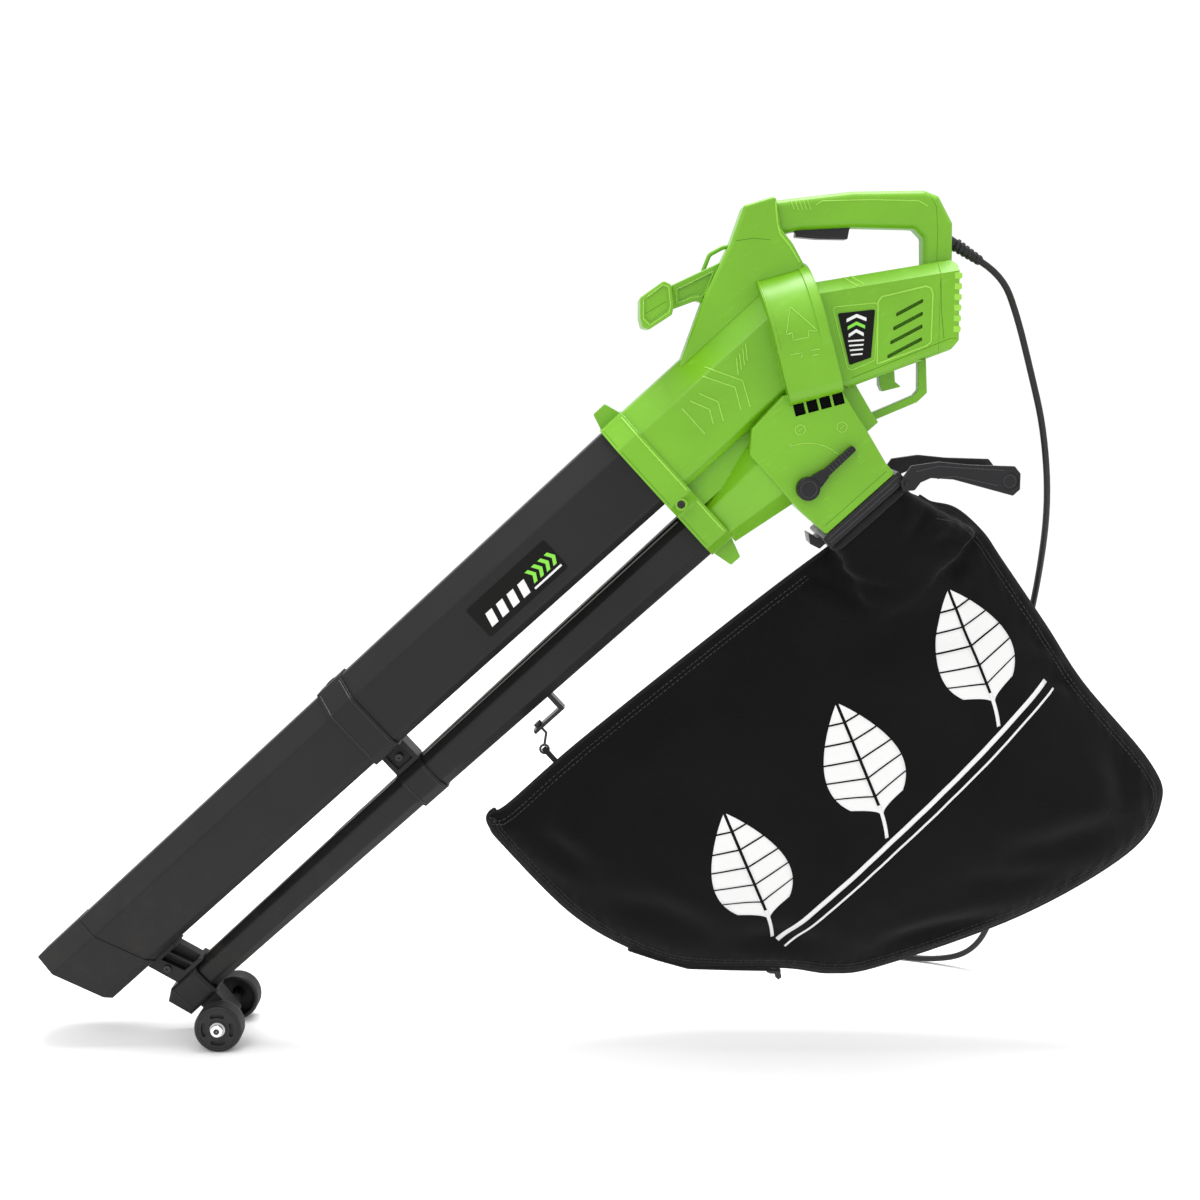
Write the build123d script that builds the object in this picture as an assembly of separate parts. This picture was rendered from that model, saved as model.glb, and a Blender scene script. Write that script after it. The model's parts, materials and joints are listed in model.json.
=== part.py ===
"""Electric garden blower and leaf vacuum with a mulching fan, twin tubes, wheels and a leaf bag.

Millimetres, +Z up. The origin is the middle of the main grip. +X points back towards the user
and the mains lead, and the machine is symmetric about Y = 0, apart from its lever and its lead.
The tubes run down and forwards at TUBE_ANGLE, and the motor shaft tilts up by MOTOR_TILT.
A place on the tubes is (s, n): s along the tubes from the origin, n square to them, upwards.
A place on the motor is (m, w): m along the shaft from the fan's centre, w square to it, upwards.
"""
import math
import os

from build123d import *

# Driving dimensions
TUBE_ANGLE = 42.4
MOTOR_TILT = 15.0
FAN_CENTRE = (-62.0, 0.0, -127.0)
WALL = 3.0
GAP = 0.2

SUCTION_N = -38.5  # centre line of the large tube
SUCTION_WIDTH = 90.0
SUCTION_HEIGHT = 97.0
SUCTION_TIP_HEIGHT = 88.0
BLOW_N = -134.8  # centre line of the small tube
BLOW_WIDTH = 46.0
BLOW_HEIGHT = 53.0
BLOW_TIP_HEIGHT = 35.0
TUBE_WALL = 2.5
FLANGE_S = (316.0, 345.0)
TUBE_START_S = 326.0
JOINT_S = 738.0
BLOW_END_S = 1063.0
COLLAR_S = (722.0, 755.0)
NOZZLE_SLANT = 22.0  # tilt of the nozzle's mouth, so that it lies flatter on the ground

VOLUTE_R = 70.0
VOLUTE_M = (-27.0, 28.0)
VOLUTE_FOOT_W = -64.0
IMPELLER_R = 58.0
CHAMBER_HALF = 54.0
SPIGOT_S = (151.0, 244.0)
SPIGOT_END_N = -220.0
FLAP_SN = (227.0, -171.0)
FLAP_LENGTH = 70.0

GRIP_HALF = 17.0
SPINE_HALF = 26.0
MOTOR_HALF = 45.0
CAP_X = 79.0

SHAFT_R = 5.0
BEARING_R = 13.0
PLATE_R = 41.5
STATOR_R = 37.5
CORE_R = 24.0

AXLE_SN = (1077.0, -181.0)
AXLE_R = 3.0
WHEEL_R = 25.5
WHEEL_Y = (33.0, 55.0)

LEVER_PIVOT = (47.8, -274.0)
LEVER_BAR = (152.3, -271.6)
LEVER_Y = (55.0, 60.0)
LEVER_BAR_R = 9.0

BAG_CENTRE = (-20.0, -600.0)
BAG_HALF = 55.0
BAG_SEAM_HALF = 5.0
CLOTH = 2.5

CORD_D = 7.0
COIL_CENTRE = (10.0, 295.5)
COIL_R = (31.5, 59.5)
COIL_HEIGHT = 36.0


def heading(angle):
    """Unit vector in the XZ plane, at this angle above +X."""
    return Vector(math.cos(math.radians(angle)), 0, math.sin(math.radians(angle)))


TUBE_DIR = heading(180 + TUBE_ANGLE)
TUBE_UP = heading(90 + TUBE_ANGLE)
MOTOR_DIR = heading(MOTOR_TILT)
MOTOR_UP = heading(90 + MOTOR_TILT)
SIDE = Plane.XZ
TUBE_SIDE = Plane(origin=(0, 0, 0), x_dir=TUBE_DIR, z_dir=(0, 1, 0))
MOTOR_SIDE = Plane(origin=FAN_CENTRE, x_dir=MOTOR_DIR, z_dir=(0, -1, 0))


# Helpers


def on_tube(s, n, y=0.0):
    """Point at (s, n) beside the tubes."""
    return TUBE_DIR * s + TUBE_UP * n + Vector(0, y, 0)


FLOOR_Z = on_tube(*AXLE_SN).Z - WHEEL_R


def on_motor(m, w, y=0.0):
    """Point at (m, w) beside the motor."""
    return Vector(*FAN_CENTRE) + MOTOR_DIR * m + MOTOR_UP * w + Vector(0, y, 0)


def tube_plane(s):
    """Cross-section plane of the tubes: local x is -Y and local y is n."""
    return Plane(origin=on_tube(s, 0), x_dir=(0, -1, 0), z_dir=TUBE_DIR)


def motor_plane(m):
    """Cross-section plane of the motor: local x is Y and local y is w."""
    return Plane(origin=on_motor(m, 0), x_dir=(0, 1, 0), z_dir=MOTOR_DIR)


def rounded(points, radius):
    """Closed outline with its corners rounded."""
    sketch = Polygon(*points, align=None)
    return fillet(sketch.vertices(), radius) if radius else sketch


def slab(plane, points, half, radius=0.0, middle=0.0):
    """Outline extruded to half on both sides of Y = middle."""
    return Pos(0, middle, 0) * extrude(plane * rounded(points, radius), half, both=True)


def pair(shape):
    """The shape and its mirror image on the other side of Y = 0."""
    return shape + mirror(shape, Plane.XZ)


def side_edges(solid):
    """Edges of the two faces that look along Y."""
    return solid.faces().filter_by(Axis.Y).edges()


def moulding(plane, points, half, radius, edge):
    """Slab with rounded corners and softened side edges."""
    solid = slab(plane, points, half, radius)
    return fillet(side_edges(solid), edge)


def prism(plane, sketch, amount):
    """Sketch extruded along the plane's normal."""
    return extrude(plane * sketch, amount, dir=plane.z_dir)


def rod(start, end, radius, inner=0.0):
    """Round bar, or a tube with an inner radius, from one point to another."""
    start, end = Vector(*start), Vector(*end)
    plane = Plane(origin=start, z_dir=end - start)
    profile = Circle(radius) - Circle(inner) if inner else Circle(radius)
    return extrude(plane * profile, (end - start).length)


def cross_rod(plane, place, y_from, y_to, radius, inner=0.0):
    """Round bar along Y at a place on a side plane."""
    start = plane.from_local_coords((place[0], place[1], 0))
    return rod((start.X, y_from, start.Z), (start.X, y_to, start.Z), radius, inner)


def half_space(sign):
    """Everything on one side of Y = 0."""
    return Pos(0, sign * 1000, 0) * Box(4000, 2000, 4000)


def split_halves(name, solid):
    """Near half (Y < 0) and far half of a casing, as two nodes."""
    return {name + "_near": solid & half_space(-1), name + "_far": solid & half_space(1)}


def swept_wire(points, radii, radius):
    """Round wire along a path of straight runs and arcs."""
    path = FilletPolyline(*points, radius=radii)
    return sweep(Plane(origin=path @ 0, z_dir=path % 0) * Circle(radius), path=path)


# Tubes


def suction_outline(height, width, shrink=0.0):
    """Section of the large tube: steep upper chamfers, upright sides and a small lower bevel."""
    top = height / 2 - shrink
    side = width / 2 - shrink
    upper = 0.27 * height - 0.6 * shrink
    lower = 8.0
    right = [(side - upper, top), (side, top - upper), (side, lower - top), (side - lower, -top)]
    left = [(-x, y) for x, y in reversed(right)]
    return right + left


def blow_outline(height, width, shrink=0.0):
    """Section of the small tube: a box with four bevelled corners."""
    top = height / 2 - shrink
    side = width / 2 - shrink
    bevel = 0.24 * height - 0.6 * shrink
    right = [(side - bevel, top), (side, top - bevel), (side, bevel - top), (side - bevel, -top)]
    left = [(-x, y) for x, y in reversed(right)]
    return right + left


def section(outline, height, width, shrink, s, n, radius=5.0):
    """Tube section as a face at s, centred on n."""
    face = rounded(outline(height, width, shrink), radius)
    return tube_plane(s) * Pos(0, n) * face


def duct(outline, n, ends, shrink=0.0, radius=5.0):
    """Solid between two sections, each given as (s, height, width)."""
    faces = [section(outline, height, width, shrink, s, n, radius) for s, height, width in ends]
    return loft(faces, ruled=True)


def hollow_duct(outline, n, ends, wall):
    """Tube wall between two sections."""
    bore = [(s + reach, height, width) for (s, height, width), reach in zip(ends, (-1, 1))]
    return duct(outline, n, ends) - duct(outline, n, bore, wall)


def suction_height(s):
    """Outer height of the large tube at s."""
    share = (s - TUBE_START_S) / (1090.0 - TUBE_START_S)
    return SUCTION_HEIGHT + (SUCTION_TIP_HEIGHT - SUCTION_HEIGHT) * share


def blow_height(s):
    """Outer height of the small tube at s."""
    share = (s - TUBE_START_S) / (BLOW_END_S - TUBE_START_S)
    return BLOW_HEIGHT + (BLOW_TIP_HEIGHT - BLOW_HEIGHT) * share


def suction_end(s, extra=0.0):
    """Large tube's (s, height, width)."""
    height = suction_height(s) + extra
    return (s, height, height * SUCTION_WIDTH / SUCTION_HEIGHT)


def blow_end(s, extra=0.0):
    """Small tube's (s, height, width)."""
    height = blow_height(s) + extra
    return (s, height, height * BLOW_WIDTH / BLOW_HEIGHT)


def mouth_cut(s, keep_up):
    """Block beyond the slanted plane through (s, SUCTION_N), to cut the lower tube or the nozzle."""
    normal = heading(180 + TUBE_ANGLE + NOZZLE_SLANT)
    plane = Plane(origin=on_tube(s, SUCTION_N), x_dir=(0, 1, 0), z_dir=normal)
    amount = 400 if keep_up else -400
    return extrude(plane * Rectangle(300, 300), amount)


def suction_tubes():
    """Large tube in two lengths, and the nozzle at its end."""
    upper_ends = [suction_end(TUBE_START_S), suction_end(JOINT_S)]
    upper = hollow_duct(suction_outline, SUCTION_N, upper_ends, TUBE_WALL)
    long_lower = [suction_end(JOINT_S + GAP, -1.4), suction_end(1180.0, -1.4)]
    lower = hollow_duct(suction_outline, SUCTION_N, long_lower, TUBE_WALL) - mouth_cut(1100.0, True)
    outer = duct(suction_outline, SUCTION_N, [suction_end(1040.0), suction_end(1240.0)])
    bore = duct(suction_outline, SUCTION_N, [suction_end(1039.0), suction_end(1241.0)], TUBE_WALL)
    nozzle = outer - bore - mouth_cut(1100.0 + GAP, False) - mouth_cut(1163.0, True)
    return {"suction_tube_upper": upper, "suction_tube_lower": lower, "nozzle": nozzle}


def blow_tubes():
    """Small tube in two lengths."""
    upper = hollow_duct(blow_outline, BLOW_N, [blow_end(TUBE_START_S), blow_end(JOINT_S)], TUBE_WALL)
    lower_ends = [blow_end(JOINT_S + GAP, -1.2), blow_end(BLOW_END_S, -1.2)]
    lower = hollow_duct(blow_outline, BLOW_N, lower_ends, TUBE_WALL)
    return {"blow_tube_upper": upper, "blow_tube_lower": lower}


def ring(outline, n, end_of, s_from, s_to, wall):
    """Sleeve that fits around a tube."""
    outer = duct(outline, n, [end_of(s_from, 2 * wall), end_of(s_to, 2 * wall)])
    bore = duct(outline, n, [end_of(s_from - 1, 2 * GAP), end_of(s_to + 1, 2 * GAP)])
    return outer - bore


def joint_collar():
    """Sleeves that join the two lengths of both tubes, and the bridge between them."""
    suction = ring(suction_outline, SUCTION_N, suction_end, *COLLAR_S, 2.2)
    blow = ring(blow_outline, BLOW_N, blow_end, *COLLAR_S, 2.2)
    web = slab(TUBE_SIDE, [(722, -84), (753, -84), (753, -113), (722, -113)], 15)
    pocket = slab(TUBE_SIDE, [(727, -89), (748, -89), (748, -108), (727, -108)], 4, middle=-15)
    web = web - pair(pocket) - cross_rod(TUBE_SIDE, (737.5, -98.5), -20, 20, 2.1)
    web = web - duct(suction_outline, SUCTION_N, [suction_end(700), suction_end(780)])
    web = web - duct(blow_outline, BLOW_N, [blow_end(700), blow_end(780)])
    return {"joint_collar": suction + blow + web}


def lower_bridge():
    """Ribbed bridge that ties the nozzle end of the large tube to the small tube."""
    outline = [(1063, -80), (1101, -80), (1089, -119), (1051, -119)]
    web = slab(TUBE_SIDE, outline, 16)
    for s in (1060, 1073):
        well = [(s, -88), (s + 11, -88), (s + 1, -114), (s - 9, -114)]
        web = web - slab(TUBE_SIDE, well, 5, middle=12) - slab(TUBE_SIDE, well, 5, middle=-12)
    web = web - cross_rod(TUBE_SIDE, (1086, -100), -20, 20, 2.1)
    web = web - duct(suction_outline, SUCTION_N, [suction_end(1000), suction_end(1240)])
    return {"lower_bridge": web - duct(blow_outline, BLOW_N, [blow_end(1000, -1.2), blow_end(1120, -1.2)])}


def wheel_foot():
    """Blow outlet on the small tube's end, with the boss that carries the axle."""
    top, bottom = -119.0, -155.0
    body = slab(TUBE_SIDE, [(1063.2, top), (1100, top), (1112, -127), (1104, bottom), (1063.2, bottom)], 19)
    body = fillet(side_edges(body), 5)
    leg = slab(TUBE_SIDE, [(1066, bottom + 6), (1090, bottom + 6), (1085, -191), (1069, -191)], 15)
    leg = fillet(leg.edges().filter_by(Axis.Y).sort_by(Axis.Z)[:2], 6)
    outlet = slab(TUBE_SIDE, [(1060, top - 3), (1120, top - 3), (1120, bottom + 3), (1060, bottom + 3)], 16)
    solid = body + leg - outlet
    x, z = on_tube(*AXLE_SN).X, on_tube(*AXLE_SN).Z
    boss = rod((x, -32.6, z), (x, 32.6, z), 7)
    return {"wheel_foot": solid + boss - rod((x, -40, z), (x, 40, z), AXLE_R)}


def wheel(side):
    """Wheel with a tyre rim, a slotted outer face, a hub and an open inner side."""
    x, z = on_tube(*AXLE_SN).X, on_tube(*AXLE_SN).Z
    inner, outer = side * WHEEL_Y[0], side * WHEEL_Y[1]
    tyre = rod((x, inner, z), (x, outer, z), WHEEL_R)
    tyre = fillet(tyre.edges().filter_by(GeomType.CIRCLE), 3)
    tyre = tyre - rod((x, inner - side, z), (x, outer - side * 4, z), WHEEL_R - 4)
    hub = rod((x, inner, z), (x, outer, z), 7)
    solid = tyre + hub - rod((x, inner - side, z), (x, outer + side, z), AXLE_R + 0.05)
    slot = Plane(origin=(x, outer + side, z), x_dir=(1, 0, 0), z_dir=(0, -side, 0))
    for turn in range(4):
        window = SlotArc(CenterArc((0, 0), 15.5, 90 * turn - 21, 42), 4.6)
        solid = solid - extrude(slot * window, 4)
    return solid


def wheels():
    """Axle, two wheels that turn on it, and the cap nuts that hold them."""
    x, z = on_tube(*AXLE_SN).X, on_tube(*AXLE_SN).Z
    axle = rod((x, -58.5, z), (x, 58.5, z), AXLE_R)
    cap = rod((x, -WHEEL_Y[1] - 5.5, z), (x, -WHEEL_Y[1] - 0.3, z), 7)
    cap = fillet(cap.faces().sort_by(Axis.Y)[0].edges(), 2)
    nuts = pair(cap - rod((x, -58.5, z), (x, -50, z), AXLE_R))
    return {"wheel_near": wheel(-1), "wheel_far": wheel(1), "axle": axle, "axle_nuts": nuts}


# Green front casing: tube flange, intake duct, fan casing, air chamber and bag spigot


def fan_casing(shrink=0.0, m_from=VOLUTE_M[0], m_to=VOLUTE_M[1]):
    """Scroll around the fan: round above, straight sides below, open towards the chamber."""
    radius = VOLUTE_R - shrink
    foot = VOLUTE_FOOT_W + shrink
    skirt = Pos(0, foot / 2) * Rectangle(2 * radius, -foot)
    skirt = fillet(skirt.vertices().group_by(Axis.Y)[0], 14 - shrink)
    profile = Circle(radius) + skirt
    plane = motor_plane(m_from + shrink)
    return extrude(plane * profile, m_to - m_from - 2 * shrink)


def chamber_points(shrink):
    """Side outline of the air chamber and the bag spigot below the fan."""
    left, right = SPIGOT_S[1] - shrink, SPIGOT_S[0] + shrink
    end = SPIGOT_END_N - (5 if shrink else 0)
    upper = [(134 + shrink, -110), (184, -84 - shrink), (229 - shrink, -88 - shrink)]
    lower = [(248 - shrink, -106 - shrink), (248 - shrink, -184), (left, end), (right, end)]
    return upper + lower + [(right, -206), (143 + shrink, -165), (141 + shrink, -150)]


def small_duct(shrink=0.0):
    """Duct from the chamber to the small tube, wider at the chamber."""
    near = (FLANGE_S[0] + 2, BLOW_HEIGHT + 5, BLOW_WIDTH + 14)
    wide = (244.0, 76.0, 2 * CHAMBER_HALF - 8)
    return duct(blow_outline, BLOW_N - 4, [wide, near], shrink, 4)


def intake_duct(shrink=0.0, start=126.0):
    """Large duct from the flange into the middle of the fan casing."""
    ends = [(start, 99.0, 94.0), (FLANGE_S[0] + 2, 100.0, 94.0)]
    return duct(suction_outline, SUCTION_N, ends, shrink)


def flange():
    """Plate that both tubes plug into, with a lug at each end."""
    right = [(24, 13), (50, -13), (50, -92), (36, -106), (36, -150), (24, -161)]
    left = [(-x, y) for x, y in reversed(right)]
    plate = prism(tube_plane(FLANGE_S[0]), rounded(right + left, 5), FLANGE_S[1] - FLANGE_S[0])
    top = slab(TUBE_SIDE, [(316, 8), (345, 8), (339, 30), (323, 30)], 9, 2)
    bottom = slab(TUBE_SIDE, [(316, -155), (345, -155), (338, -184), (325, -184)], 9, 2)
    return plate + top + bottom


REAR_BLOCK = [(118, -120), (150, -120), (150, -172), (127.6, -172), (126, -160)]


def rear_block():
    """Block behind the air chamber that the motor housing and the hanging loop meet."""
    return slab(TUBE_SIDE, REAR_BLOCK, 32)


def front_outer():
    """Outside of the front casing."""
    web = slab(TUBE_SIDE, [(225, -80), (320, -80), (320, -115), (225, -115)], 30)
    chamber = moulding(TUBE_SIDE, chamber_points(0), CHAMBER_HALF, 3, 2)
    return intake_duct() + fan_casing() + small_duct() + web + rear_block() + chamber + flange()


def front_inner():
    """Air space inside the front casing, open at both tubes, at the spigot and at the motor."""
    chamber = slab(TUBE_SIDE, chamber_points(WALL), CHAMBER_HALF - WALL)
    link = slab(MOTOR_SIDE, [(-24, -84), (25, -84), (25, -20), (-24, -20)], CHAMBER_HALF - WALL)
    air = intake_duct(WALL, 125.0) + fan_casing(WALL) + small_duct(WALL) + chamber + link
    seat = TUBE_START_S - GAP
    suction_socket = duct(suction_outline, SUCTION_N, [suction_end(seat, 0.5), suction_end(360, 0.5)])
    blow_socket = duct(blow_outline, BLOW_N, [blow_end(seat, 0.5), blow_end(360, 0.5)])
    throats = duct(blow_outline, BLOW_N, [blow_end(300, -5), blow_end(330, -5)])
    throats = throats + duct(suction_outline, SUCTION_N, [suction_end(310, -5), suction_end(330, -5)])
    rear_hole = rod(on_motor(20, 0), on_motor(40, 0), 44)
    return air + suction_socket + blow_socket + throats + rear_hole


def vent_pockets():
    """Row of four ribbed openings under the fan casing's overhang, on both sides."""
    pockets = None
    for m in (-24, -10.5, 3, 16.5):
        well = [(m, -64), (m + 11, -64), (m + 11, -76), (m, -76)]
        box = slab(MOTOR_SIDE, well, 7, middle=-CHAMBER_HALF - 2)
        pockets = box if pockets is None else pockets + box
    return pair(pockets)


def front_casing():
    """Two halves of the front casing, joined along Y = 0."""
    solid = front_outer() - front_inner() - vent_pockets()
    boss = cross_rod(TUBE_SIDE, (333, -97), -50, 50, 6.5)
    solid = solid + boss - cross_rod(TUBE_SIDE, (333, -97), -60, 60, 2.2)
    for y_from, y_to in ((-60, -46), (46, 60)):
        solid = solid - cross_rod(TUBE_SIDE, (333, -97), y_from, y_to, 4.2)
    solid = solid - cross_rod(TUBE_SIDE, FLAP_SN, -60, 60, 5.05)
    return split_halves("front_casing", solid)


# Handle


GRIP = [
    (-90, 10), (-8, 19.5), (66, 20.5), (81, 15), (96, -12), (97, -60),
    (67, -60), (66, -27), (57, -18), (-8, -16.5), (-60, -19), (-90, -26),
]
SPINE = [
    (-118, 5), (-86, 14.5), (-80, -18), (-68, -33), (-56, -54),
    (-70, -110), (-180, -168), (-183, -157), (-157, -85), (-131, -32),
]
TRIGGER_SLOT = [(-66, -8), (-7, -8), (-7, -32), (-66, -32)]


def motor_points(shrink=0.0):
    """Side outline of the motor housing."""
    top = [(-58 + shrink, -74 - shrink), (92 - shrink, -49.5 - shrink), (97.5 - shrink, -54 - shrink)]
    rear = [(99 - shrink, -130), (92 - shrink, -140 + shrink), (-10 + shrink, -178 + shrink)]
    return top + rear + [(-40 + shrink, -165 + shrink)]


def motor_block(shrink=0.0):
    """Motor housing with wide upper chamfers."""
    solid = slab(SIDE, motor_points(shrink), MOTOR_HALF - shrink)
    upper = [edge for edge in side_edges(solid) if edge.length > 120 and edge.center().Z > -90]
    solid = chamfer(upper, 20, 12)
    lower = [edge for edge in side_edges(solid) if edge.center().Z < -135 and edge.length > 60]
    return fillet(lower, 9 - shrink)


def handle():
    """Two halves of the front spine, two halves of the grip."""
    spine = moulding(SIDE, SPINE, SPINE_HALF, 4, 4)
    spine = spine - extrude(SIDE * offset(rounded(SPINE, 4), -WALL), SPINE_HALF - WALL, both=True)
    spine = spine - intake_duct() - fan_casing()
    grip = moulding(SIDE, GRIP, GRIP_HALF, 5, 8)
    cavity = extrude(SIDE * offset(rounded(GRIP, 5), -WALL), GRIP_HALF - WALL, both=True)
    grip = grip - cavity - slab(SIDE, TRIGGER_SLOT, 9.8)
    grip = grip - slab(SIDE, SPINE, SPINE_HALF + 1, 4) - motor_block()
    grip = grip - rod(BOOT_START - BOOT_DIR * 12, BOOT_START + BOOT_DIR * 12, 6.3)
    grip = grip - rod(BOOT_START - BOOT_DIR * 9, BOOT_START - BOOT_DIR * 4.2, 8.3)
    return split_halves("spine", spine) | split_halves("grip", grip)


FRONT_BAR = [
    (-223.5, -88), (-200, -71.5), (-192.5, -75), (-189.5, -96),
    (-191.5, -105), (-214, -119.5), (-221, -117.5), (-223.5, -108),
]


def front_handle():
    """Stem with hollowed sides on the spine, and the crosswise grip bar on its end."""
    stem_points = [(-190, -74), (-130, -46), (-150, -94), (-166, -90), (-190, -99)]
    stem = moulding(SIDE, stem_points, 13, 2, 1.5)
    hollow = slab(SIDE, [(-184, -78), (-148, -61), (-158, -84), (-168, -84), (-183, -91)], 2, 1.5, middle=-13)
    bar = moulding(SIDE, FRONT_BAR, 56, 3, 2)
    face = [(-219, -89), (-201, -77), (-196, -79), (-194.5, -96), (-196, -101), (-213, -113), (-219, -108)]
    bar = bar - pair(slab(SIDE, face, 1.5, 2, middle=-56))
    stem = stem - pair(hollow) - slab(SIDE, FRONT_BAR, 57) - slab(SIDE, SPINE, SPINE_HALF + 1, 4)
    return {"front_handle_stem": stem, "front_handle_bar": bar}


def strap_eye():
    """Wire loop for a shoulder strap, on the front of the spine."""
    wire = swept_wire([(-124, 0, -33), (-138, 0, -36), (-151, 0, -43), (-160, 0, -66)], [8, 8], 2.2)
    return {"strap_eye": wire - slab(SIDE, SPINE, SPINE_HALF) - front_handle_solids()}


def front_handle_solids():
    """The front handle as one shape, for cutting what meets it."""
    pieces = front_handle()
    return pieces["front_handle_stem"] + pieces["front_handle_bar"]


# Motor housing


def motor_housing():
    """Two halves of the motor housing and its rear vent cap."""
    solid = motor_block() - motor_block(WALL) - fan_casing()
    solid = solid - slab(TUBE_SIDE, chamber_points(0), CHAMBER_HALF)
    solid = solid - rear_block()
    for row in range(4):
        left, low, high = 35 - 2.6 * row, -103 - 14 * row, -88.5 - 12.7 * row
        slot = [(left, low), (62, high), (62, high - 4), (left, low - 4)]
        solid = solid - pair(slab(SIDE, slot, 8, 1, middle=-MOTOR_HALF))
    rear = Pos(CAP_X + 500, 0, 0) * Box(1000, 400, 1000)
    cap = solid & rear
    for row in range(9):
        cap = cap - Pos(99, 0, -62 - 7.5 * row) * Box(12, 70, 3.2)
    shells = solid - (Pos(-GAP, 0, 0) * rear)
    return split_halves("motor_housing", shells) | {"rear_vent_cap": cap}


def rear_loop():
    """Hanging loop between the air chamber and the motor housing, and the cable hook beside it."""
    outside = [(12, -211), (20, -213), (66, -193.5), (76, -184), (73.5, -140)]
    inside = [(65.5, -140), (66.5, -181), (62, -186.5), (20, -204.5), (14, -204.5)]
    loop = moulding(SIDE, outside + inside, 7, 1.5, 1)
    housing = slab(SIDE, motor_points(), MOTOR_HALF)
    loop = loop - rear_block() - housing - slab(TUBE_SIDE, chamber_points(0), CHAMBER_HALF)
    barb = [(42, -172.5), (48.5, -177.5), (29, -182.5), (26, -176)]
    hook = slab(SIDE, [(25, -150), (40, -150)] + barb, 9, 0.8)
    return {"rear_loop": loop + (hook - housing)}


# Motor, fan and switch


def round_part(profile):
    """Solid turned about the motor shaft from (m, radius) points."""
    outline = Polygon(*profile, align=None)
    return revolve(MOTOR_SIDE * outline, Axis(on_motor(0, 0), MOTOR_DIR))


def impeller():
    """Mulching fan: back plate, hub and six swept blades with cutting tips."""
    back = [(9, 22), (9, IMPELLER_R), (13, IMPELLER_R), (13, SHAFT_R)]
    solid = round_part([(-16, SHAFT_R), (-16, 12)] + back)
    blade = Pos(36, 0) * Rot(0, 0, 22) * Rectangle(42, 3)
    for turn in range(6):
        solid = solid + extrude(motor_plane(-12) * (Rot(0, 0, 60 * turn) * blade), 22)
    return solid


def cooling_fan():
    """Radial fan that cools the motor."""
    disc = [(49, 11), (49, 35), (51, 35), (51, 11)]
    solid = round_part([(46, SHAFT_R), (46, 11)] + disc + [(57, 11), (57, SHAFT_R)])
    vane = Pos(23, 0) * Rectangle(22, 1.6)
    for turn in range(12):
        solid = solid + extrude(motor_plane(50.9) * (Rot(0, 0, 30 * turn) * vane), 5)
    return solid


def motor():
    """Stator, turning parts, bearings, brushes and the plate between fan and motor."""
    shaft = rod(on_motor(-24, 0), on_motor(142, 0), SHAFT_R)
    nut = extrude(motor_plane(-23) * RegularPolygon(9, 6), 6.8)
    nut = nut - rod(on_motor(-30, 0), on_motor(0, 0), SHAFT_R)
    core = round_part([(62, SHAFT_R), (62, CORE_R), (106, CORE_R), (106, SHAFT_R)])
    for turn in range(12):
        slot = Rot(0, 0, 30 * turn) * (Pos(CORE_R, 0) * Rectangle(8, 2))
        core = core - extrude(motor_plane(60) * slot, 50)
    commutator = round_part([(112, SHAFT_R), (112, 14), (126, 14), (126, SHAFT_R)])
    stator = round_part([(60, CORE_R + 0.8), (60, STATOR_R), (108, STATOR_R), (108, CORE_R + 0.8)])
    disc = [(28.2, 14), (28.2, PLATE_R), (31, PLATE_R), (31, 20)]
    plate = round_part(disc + [(42, 20), (42, BEARING_R), (31, BEARING_R), (31, 14)])
    plate = plate - fan_casing() - rear_block()
    bore = SHAFT_R + 0.05
    bearings = round_part([(32, bore), (32, BEARING_R), (41, BEARING_R), (41, bore)])
    bearings = bearings + round_part([(131, bore), (131, 11), (139, 11), (139, bore)])
    holder = round_part([(129, 11), (129, 16), (141, 16), (141, 11)])
    arms = extrude(motor_plane(134) * (Rectangle(83.6, 8) - Circle(15.5)), 4)
    brush = extrude(motor_plane(116) * (Pos(24, 0) * Rectangle(19, 9)), 6.5)
    return {
        "motor_shaft": shaft,
        "impeller": impeller(),
        "impeller_nut": nut,
        "cooling_fan": cooling_fan(),
        "armature": core + commutator,
        "stator": stator,
        "bearing_plate": plate,
        "bearings": bearings,
        "rear_bearing_bracket": holder + arms,
        "brush_holders": pair(brush),
    }


def controls():
    """Trigger, switch with its plunger, capacitor, terminal block and cord clamp."""
    outline = [(-62, -10), (-64, -25.5), (-42, -27.5), (-10.5, -28), (-8.5, -16), (-9, -10)]
    trigger = slab(SIDE, outline, 9.3, 1.5)
    switch = Pos(-30, 0, 1.5) * Box(34, 18, 14) - rod((-30, 0, -10), (-30, 0, 5), 2.05)
    plunger = rod((-30, 0, -9.6), (-30, 0, 1), 2)
    capacitor = Pos(12, 0, 2) * Box(26, 14, 16)
    terminals = Pos(45, 0, 3) * Box(20, 14, 10)
    clamp = Pos(80, 0, -18) * Rot(0, 31.6, 0) * Box(6, 22, 14)
    clamp = clamp - rod((60, 0, -8), (100, 0, -32), CORD_D / 2 + 0.1)
    return {
        "trigger": trigger,
        "switch_body": switch,
        "switch_plunger": plunger,
        "capacitor": capacitor,
        "terminal_block": terminals,
        "cord_clamp": clamp,
    }


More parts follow.
